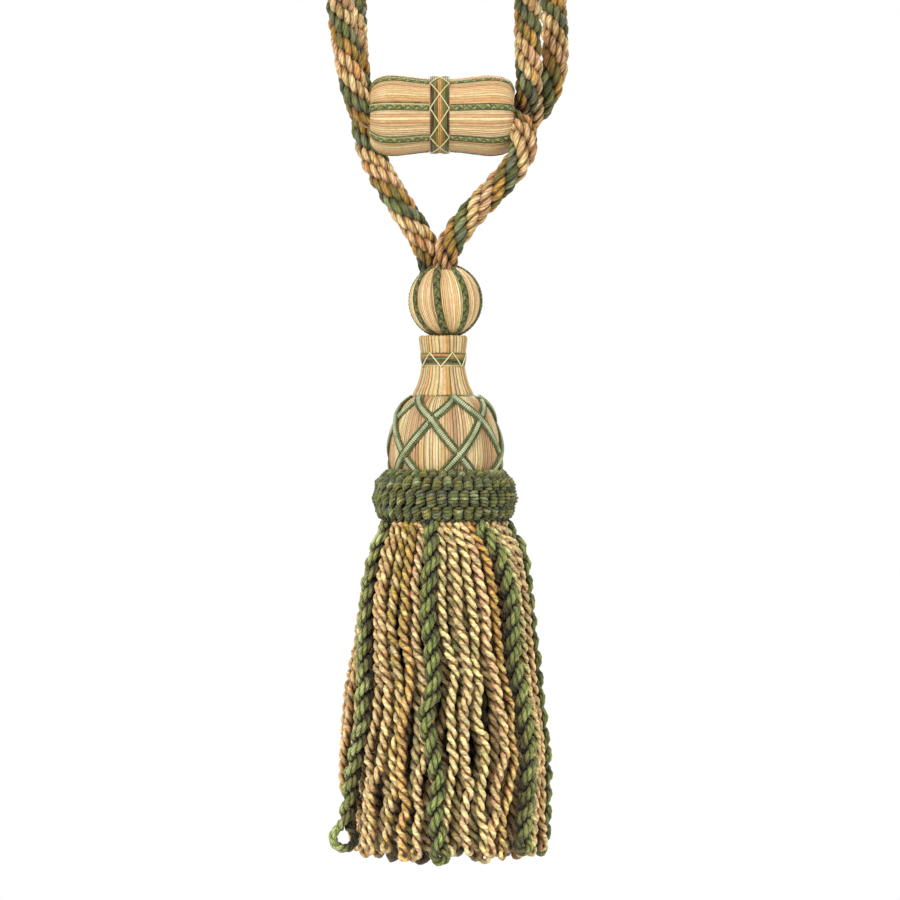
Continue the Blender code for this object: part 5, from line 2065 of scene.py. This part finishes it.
    def build(self) -> None:
        """Build the rows of bullion, the green cords and the tape."""
        for row in self._rows():
            self._bullion(row)
        self._green()
        tape = ThreadSkin(
            self.tape, threads=40, ridge=0.0003, dyes=(Dye.OLIVE, Dye.BARK),
            seed=51, step=1.6 * MM, columns=2,
        )
        put_on("skirt_backing", tape.mesh("skirt_backing"), BAND_THREAD, Slot.BULLION)

    def _rows(self) -> list[Row]:
        """The rows of bullion: two halves of the outer one, one behind them dimmed with painted shade, and a
        core of cords dimmed near black with painted shade.

        Returns:
            The rows, from the outside in.
        """
        outer = [place for place in range(self.sectors) if place % self.green_every]
        half = len(outer) // 2
        inner = np.linspace(0, self.sectors, self.inner_cords, endpoint=False) + 0.6
        core = np.linspace(0, self.sectors, self.core_cords, endpoint=False) + 0.2
        thicker = replace(self.bullion, ply=1.24 * MM)
        thickest = replace(self.bullion, ply=1.9 * MM, pitch=14 * MM, eye=2.4 * MM, lobe_pitch=8 * MM)
        return [
            Row("bullion_front", outer[:half], 1.0, 1.78, 8, self.step, self.bullion, ("fringe_bullion",)),
            Row("bullion_back", outer[half:], 1.0, 1.78, 8, self.step, self.bullion),
            # The inner row's and the core's lower lights are painted shade deep inside the skirt.
            Row("bullion_inner", inner, 0.85, 0.95, 6, 1.35 * MM, thicker),
            Row("bullion_core", core, 0.62, 0.24, 6, 1.9 * MM, thickest),
        ]

    def _radius(self, height: Array, angle: Array) -> Array:
        """Outer radius of the skirt at heights and directions round the axis.

        Args:
            height: The heights.
            angle: The directions, in radians.

        Returns:
            The radii.
        """
        table = np.array(self.rows)
        left = np.interp(-height, -table[:, 0], table[:, 1])
        right = np.interp(-height, -table[:, 0], table[:, 2])
        return (left + right) / 2 + (right - left) / 2 * np.cos(angle)

    def _swayed(self, place: float, height: Array) -> Array:
        """Direction of a cord at each height, between those of the two green cords beside it.

        Args:
            place: The cord's place round the skirt.
            height: The heights.

        Returns:
            The directions, in radians.
        """
        table = np.array(self.drifts)
        greens = self.sectors // self.green_every
        spot = place / self.green_every
        first, share = int(spot) % greens, spot % 1
        here = np.interp(-height, -table[:, 0], table[:, 1 + first])
        beyond = np.interp(-height, -table[:, 0], table[:, 1 + (first + 1) % greens])
        root = self.green_turn + 360 * place / self.sectors
        return np.radians(root + here * (1 - share) + beyond * share)

    def _heart(self, place: float, share: float, width: float, proud: float, seed: int, step: float) -> Array:
        """The line that a cord hangs along.

        Args:
            place: The cord's place round the skirt.
            share: Share of the skirt's radius that its row keeps.
            width: The cord's width.
            proud: How far it stands outside its row.
            seed: Which unevenness to draw.
            step: Distance between two of its points.

        Returns:
            Its points from the root down.
        """
        end = self.bottom + self.uneven * math.sin(2.4 * place) * math.cos(1.1 * place)
        height = np.linspace(self.top, end, 60)
        gone = self.top - height
        loose = np.clip(gone / self.loose_by, 0, 1)
        sway, more = self.sways
        sway = (sway + more * np.clip((gone - self.sway_below) / self.loose_by, 0, 1)) * loose
        sway_wave, kink_wave, waver_wave = self.waves
        angle = self._swayed(place, height) + sway * drift(gone, seed, sway_wave)
        if not proud:
            angle = angle + self.kinks * loose * drift(gone, seed + 2, kink_wave)
        reach = (self._radius(height, angle) - width / 2) * share + proud
        wave, turns, inward = self.wavers
        wave = wave * drift(gone, seed + 1, waver_wave) + turns * (-1) ** round(place) - inward
        reach = reach + loose * MM * wave
        if not proud:
            view, wide = self.loop_view
            aside = (np.degrees(angle) % 360 - view) / wide
            clear, start, fade = self.loop_clear
            reach = reach - clear * np.exp(-aside**2) * eased(start - height, fade)
        path = np.column_stack([reach * np.cos(angle), reach * np.sin(angle), height])
        return smooth_line(path, step)

    def _bullion(self, row: Row) -> None:
        """Hang one row of bullion cords.

        Args:
            row: The row.
        """
        skein = Skein(sides=row.sides, crease=0.16, warmth=0.62)
        for count, place in enumerate(row.places):
            seed = 31 * count + round(1000 * row.share) + round(place)
            draw = np.random.default_rng(seed)
            heart = self._heart(place, row.share, self.bullion_width, 0.0, seed, row.step)
            family = self.families[int(draw.integers(0, len(self.families)))]
            side = self._side(heart, draw.uniform(-self.bullion_turn, self.bullion_turn))
            row.kind.hang(skein, heart, side, family, seed, row.dim)
        put_on(row.name, skein.mesh(row.name), BULLION_YARN, Slot.BULLION, *row.nodes)

    def _side(self, heart: Array, turn: float) -> Array:
        """A level direction at a cord's end, so many degrees from straight along the skirt's edge."""
        angle = math.atan2(heart[-1, 1], heart[-1, 0]) + math.radians(90 + turn)
        return np.array([math.cos(angle), math.sin(angle), 0.0])

    def _green(self) -> None:
        """Hang the thick green cords, one of which ends in a wide open eye."""
        skein = Skein(sides=6, crease=0.07, warmth=0.55)
        dyes = (Dye.MOSS, Dye.LEAF, Dye.FOREST, Dye.LEAF, Dye.FOREST, Dye.LEAF)
        for index, place in enumerate(range(0, self.sectors, self.green_every)):
            seed = 900 + 3 * index
            proud = self.green_proud[index] * MM
            heart = self._heart(place, 1.0, self.green_width, proud, seed, self.step)
            if index == self.loop_cord:
                self._loop(skein, heart, seed)
            else:
                side = self._side(heart, self.green_turns * math.sin(5 * index))
                self.green.hang(skein, heart, side, dyes, seed, self.green_light[0])
        put_on("green_cords", skein.mesh("green_cords"), GREEN_YARN, Slot.GREEN_CORD, "fringe_green")

    def _loop(self, skein: Skein, heart: Array, seed: int) -> None:
        """Hang the green cord whose eye is wide and open to the front.

        Args:
            skein: The green cords' skein.
            heart: Its line.
            seed: Which unevenness to draw.
        """
        heart = heart[heart[:, 2] > self.loop_end]
        aside, start, fade = self.loop_aside
        heart = heart - np.outer(aside * eased(start - heart[:, 2], fade), (1, 0, 0))
        side = np.array([-1.0, 0.0, 0.0])
        dyes = (Dye.MOSS, Dye.LEAF, Dye.SAGE, Dye.LEAF)
        self.green.hang(skein, heart, side, dyes, seed, self.green_light[1], self.loop_eye)


# ---------------------------------------------------------------- studio

@dataclass
class Lamp:
    """A soft round studio light: its name, where it stands, how wide it is and how strong."""

    name: str
    place: tuple[float, float, float]
    size: float
    watts: float

    def build(self, target: Vector) -> None:
        """Put the lamp in the scene, turned to the target.

        Args:
            target: The point that it looks at.
        """
        data = bpy.data.lights.new(self.name, "AREA")
        data.shape = "DISK"
        data.size = self.size
        data.energy = self.watts
        lamp = bpy.data.objects.new(self.name, data)
        lamp.location = self.place
        lamp.rotation_euler = (target - Vector(self.place)).to_track_quat("-Z", "Y").to_euler()
        bpy.context.scene.collection.objects.link(lamp)


@dataclass
class Studio:
    """Camera, lights, pale floor and white surroundings.

    Attributes:
        middle: The point that the camera and the lamps look at.
        distance: How far in front of it the camera stands.
        lens: The camera's focal length, in millimetres.
        floor_height: Height of the floor.
        floor_radius: Its radius.
        floor_colour: Its colour, as linear light.
        floor_roughness: How matt it is.
        lamps: The lights.
        world_colour: Colour of the light from all round.
        world_light: How strong that light is.
    """

    middle: tuple[float, float, float] = (0.002, 0.0, -0.21)
    distance: float = 1.5
    lens: float = 150.0
    floor_height: float = -0.46
    floor_radius: float = 0.45
    floor_colour: tuple[float, float, float] = (0.86, 0.86, 0.85)
    floor_roughness: float = 0.9
    lamps: Sequence[Lamp] = (
        Lamp("key", (-0.9, -1.5, 0.7), 0.7, 26.0),
        Lamp("fill", (1.3, -1.2, 0.1), 1.2, 10.0),
        Lamp("rim", (0.3, 1.2, 0.9), 0.9, 14.0),
    )
    world_colour: tuple[float, float, float] = (1.0, 0.985, 0.96)
    world_light: float = 0.55

    def camera(self) -> None:
        """Set the camera level with the tassel's middle, square to its front."""
        data = bpy.data.cameras.new("camera")
        data.lens = self.lens
        data.clip_start = 0.05
        camera = bpy.data.objects.new("camera", data)
        camera.location = (self.middle[0], -self.distance, self.middle[2])
        camera.rotation_euler = (math.pi / 2, 0, 0)
        bpy.context.scene.collection.objects.link(camera)
        bpy.context.scene.camera = camera

    def build(self) -> None:
        """Light the scene and lay the floor."""
        scene = bpy.context.scene
        scene.view_settings.view_transform = "Standard"
        for lamp in self.lamps:
            lamp.build(Vector(self.middle))
        self._world(scene)
        self._floor(scene)

    def _floor(self, scene: bpy.types.Scene) -> None:
        """Lay a round floor of pale paper, which is stage and not part of the tassel.

        Args:
            scene: The scene.
        """
        bm = bmesh.new()
        bmesh.ops.create_circle(bm, cap_ends=True, segments=96, radius=self.floor_radius)
        bmesh.ops.translate(bm, verts=bm.verts, vec=(0, 0, self.floor_height))
        mesh = bpy.data.meshes.new("floor")
        bm.to_mesh(mesh)
        bm.free()
        floor = bpy.data.objects.new("floor", mesh)
        scene.collection.objects.link(floor)
        material = bpy.data.materials.new("floor_paper")
        material.use_nodes = True
        shader = material.node_tree.nodes["Principled BSDF"]
        shader.inputs["Base Color"].default_value = (*self.floor_colour, 1)
        shader.inputs["Roughness"].default_value = self.floor_roughness
        mesh.materials.append(material)
        floor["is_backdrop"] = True

    def _world(self, scene: bpy.types.Scene) -> None:
        """Make the surroundings white to the camera and a softer light to the tassel.

        Args:
            scene: The scene.
        """
        world = bpy.data.worlds.new("white")
        world.use_nodes = True
        tree = world.node_tree
        white = tree.nodes["Background"]
        white.inputs["Color"].default_value = (1, 1, 1, 1)
        white.inputs["Strength"].default_value = 1.0
        soft = tree.nodes.new("ShaderNodeBackground")
        soft.inputs["Color"].default_value = (*self.world_colour, 1)
        soft.inputs["Strength"].default_value = self.world_light
        ray = tree.nodes.new("ShaderNodeLightPath")
        mix = tree.nodes.new("ShaderNodeMixShader")
        tree.links.new(ray.outputs["Is Camera Ray"], mix.inputs[0])
        tree.links.new(soft.outputs[0], mix.inputs[1])
        tree.links.new(white.outputs[0], mix.inputs[2])
        tree.links.new(mix.outputs[0], tree.nodes["World Output"].inputs["Surface"])
        scene.world = world


def corners() -> list[list[float]]:
    """The whole object's box, as plain lists."""
    return [[float(value) for value in corner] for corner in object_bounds()]


def main() -> None:
    """Build the tassel's pieces in order."""
    logging.basicConfig(level=logging.INFO, format="%(message)s", stream=sys.stdout)
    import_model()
    studio = Studio()
    studio.camera()
    main_rope().build()
    right_rope().build()
    Slide().build()
    Ball().build()
    Neck().build()
    Dome().build()
    Ruff().build()
    Skirt().build()
    studio.build()


if __name__ == "__main__":
    main()
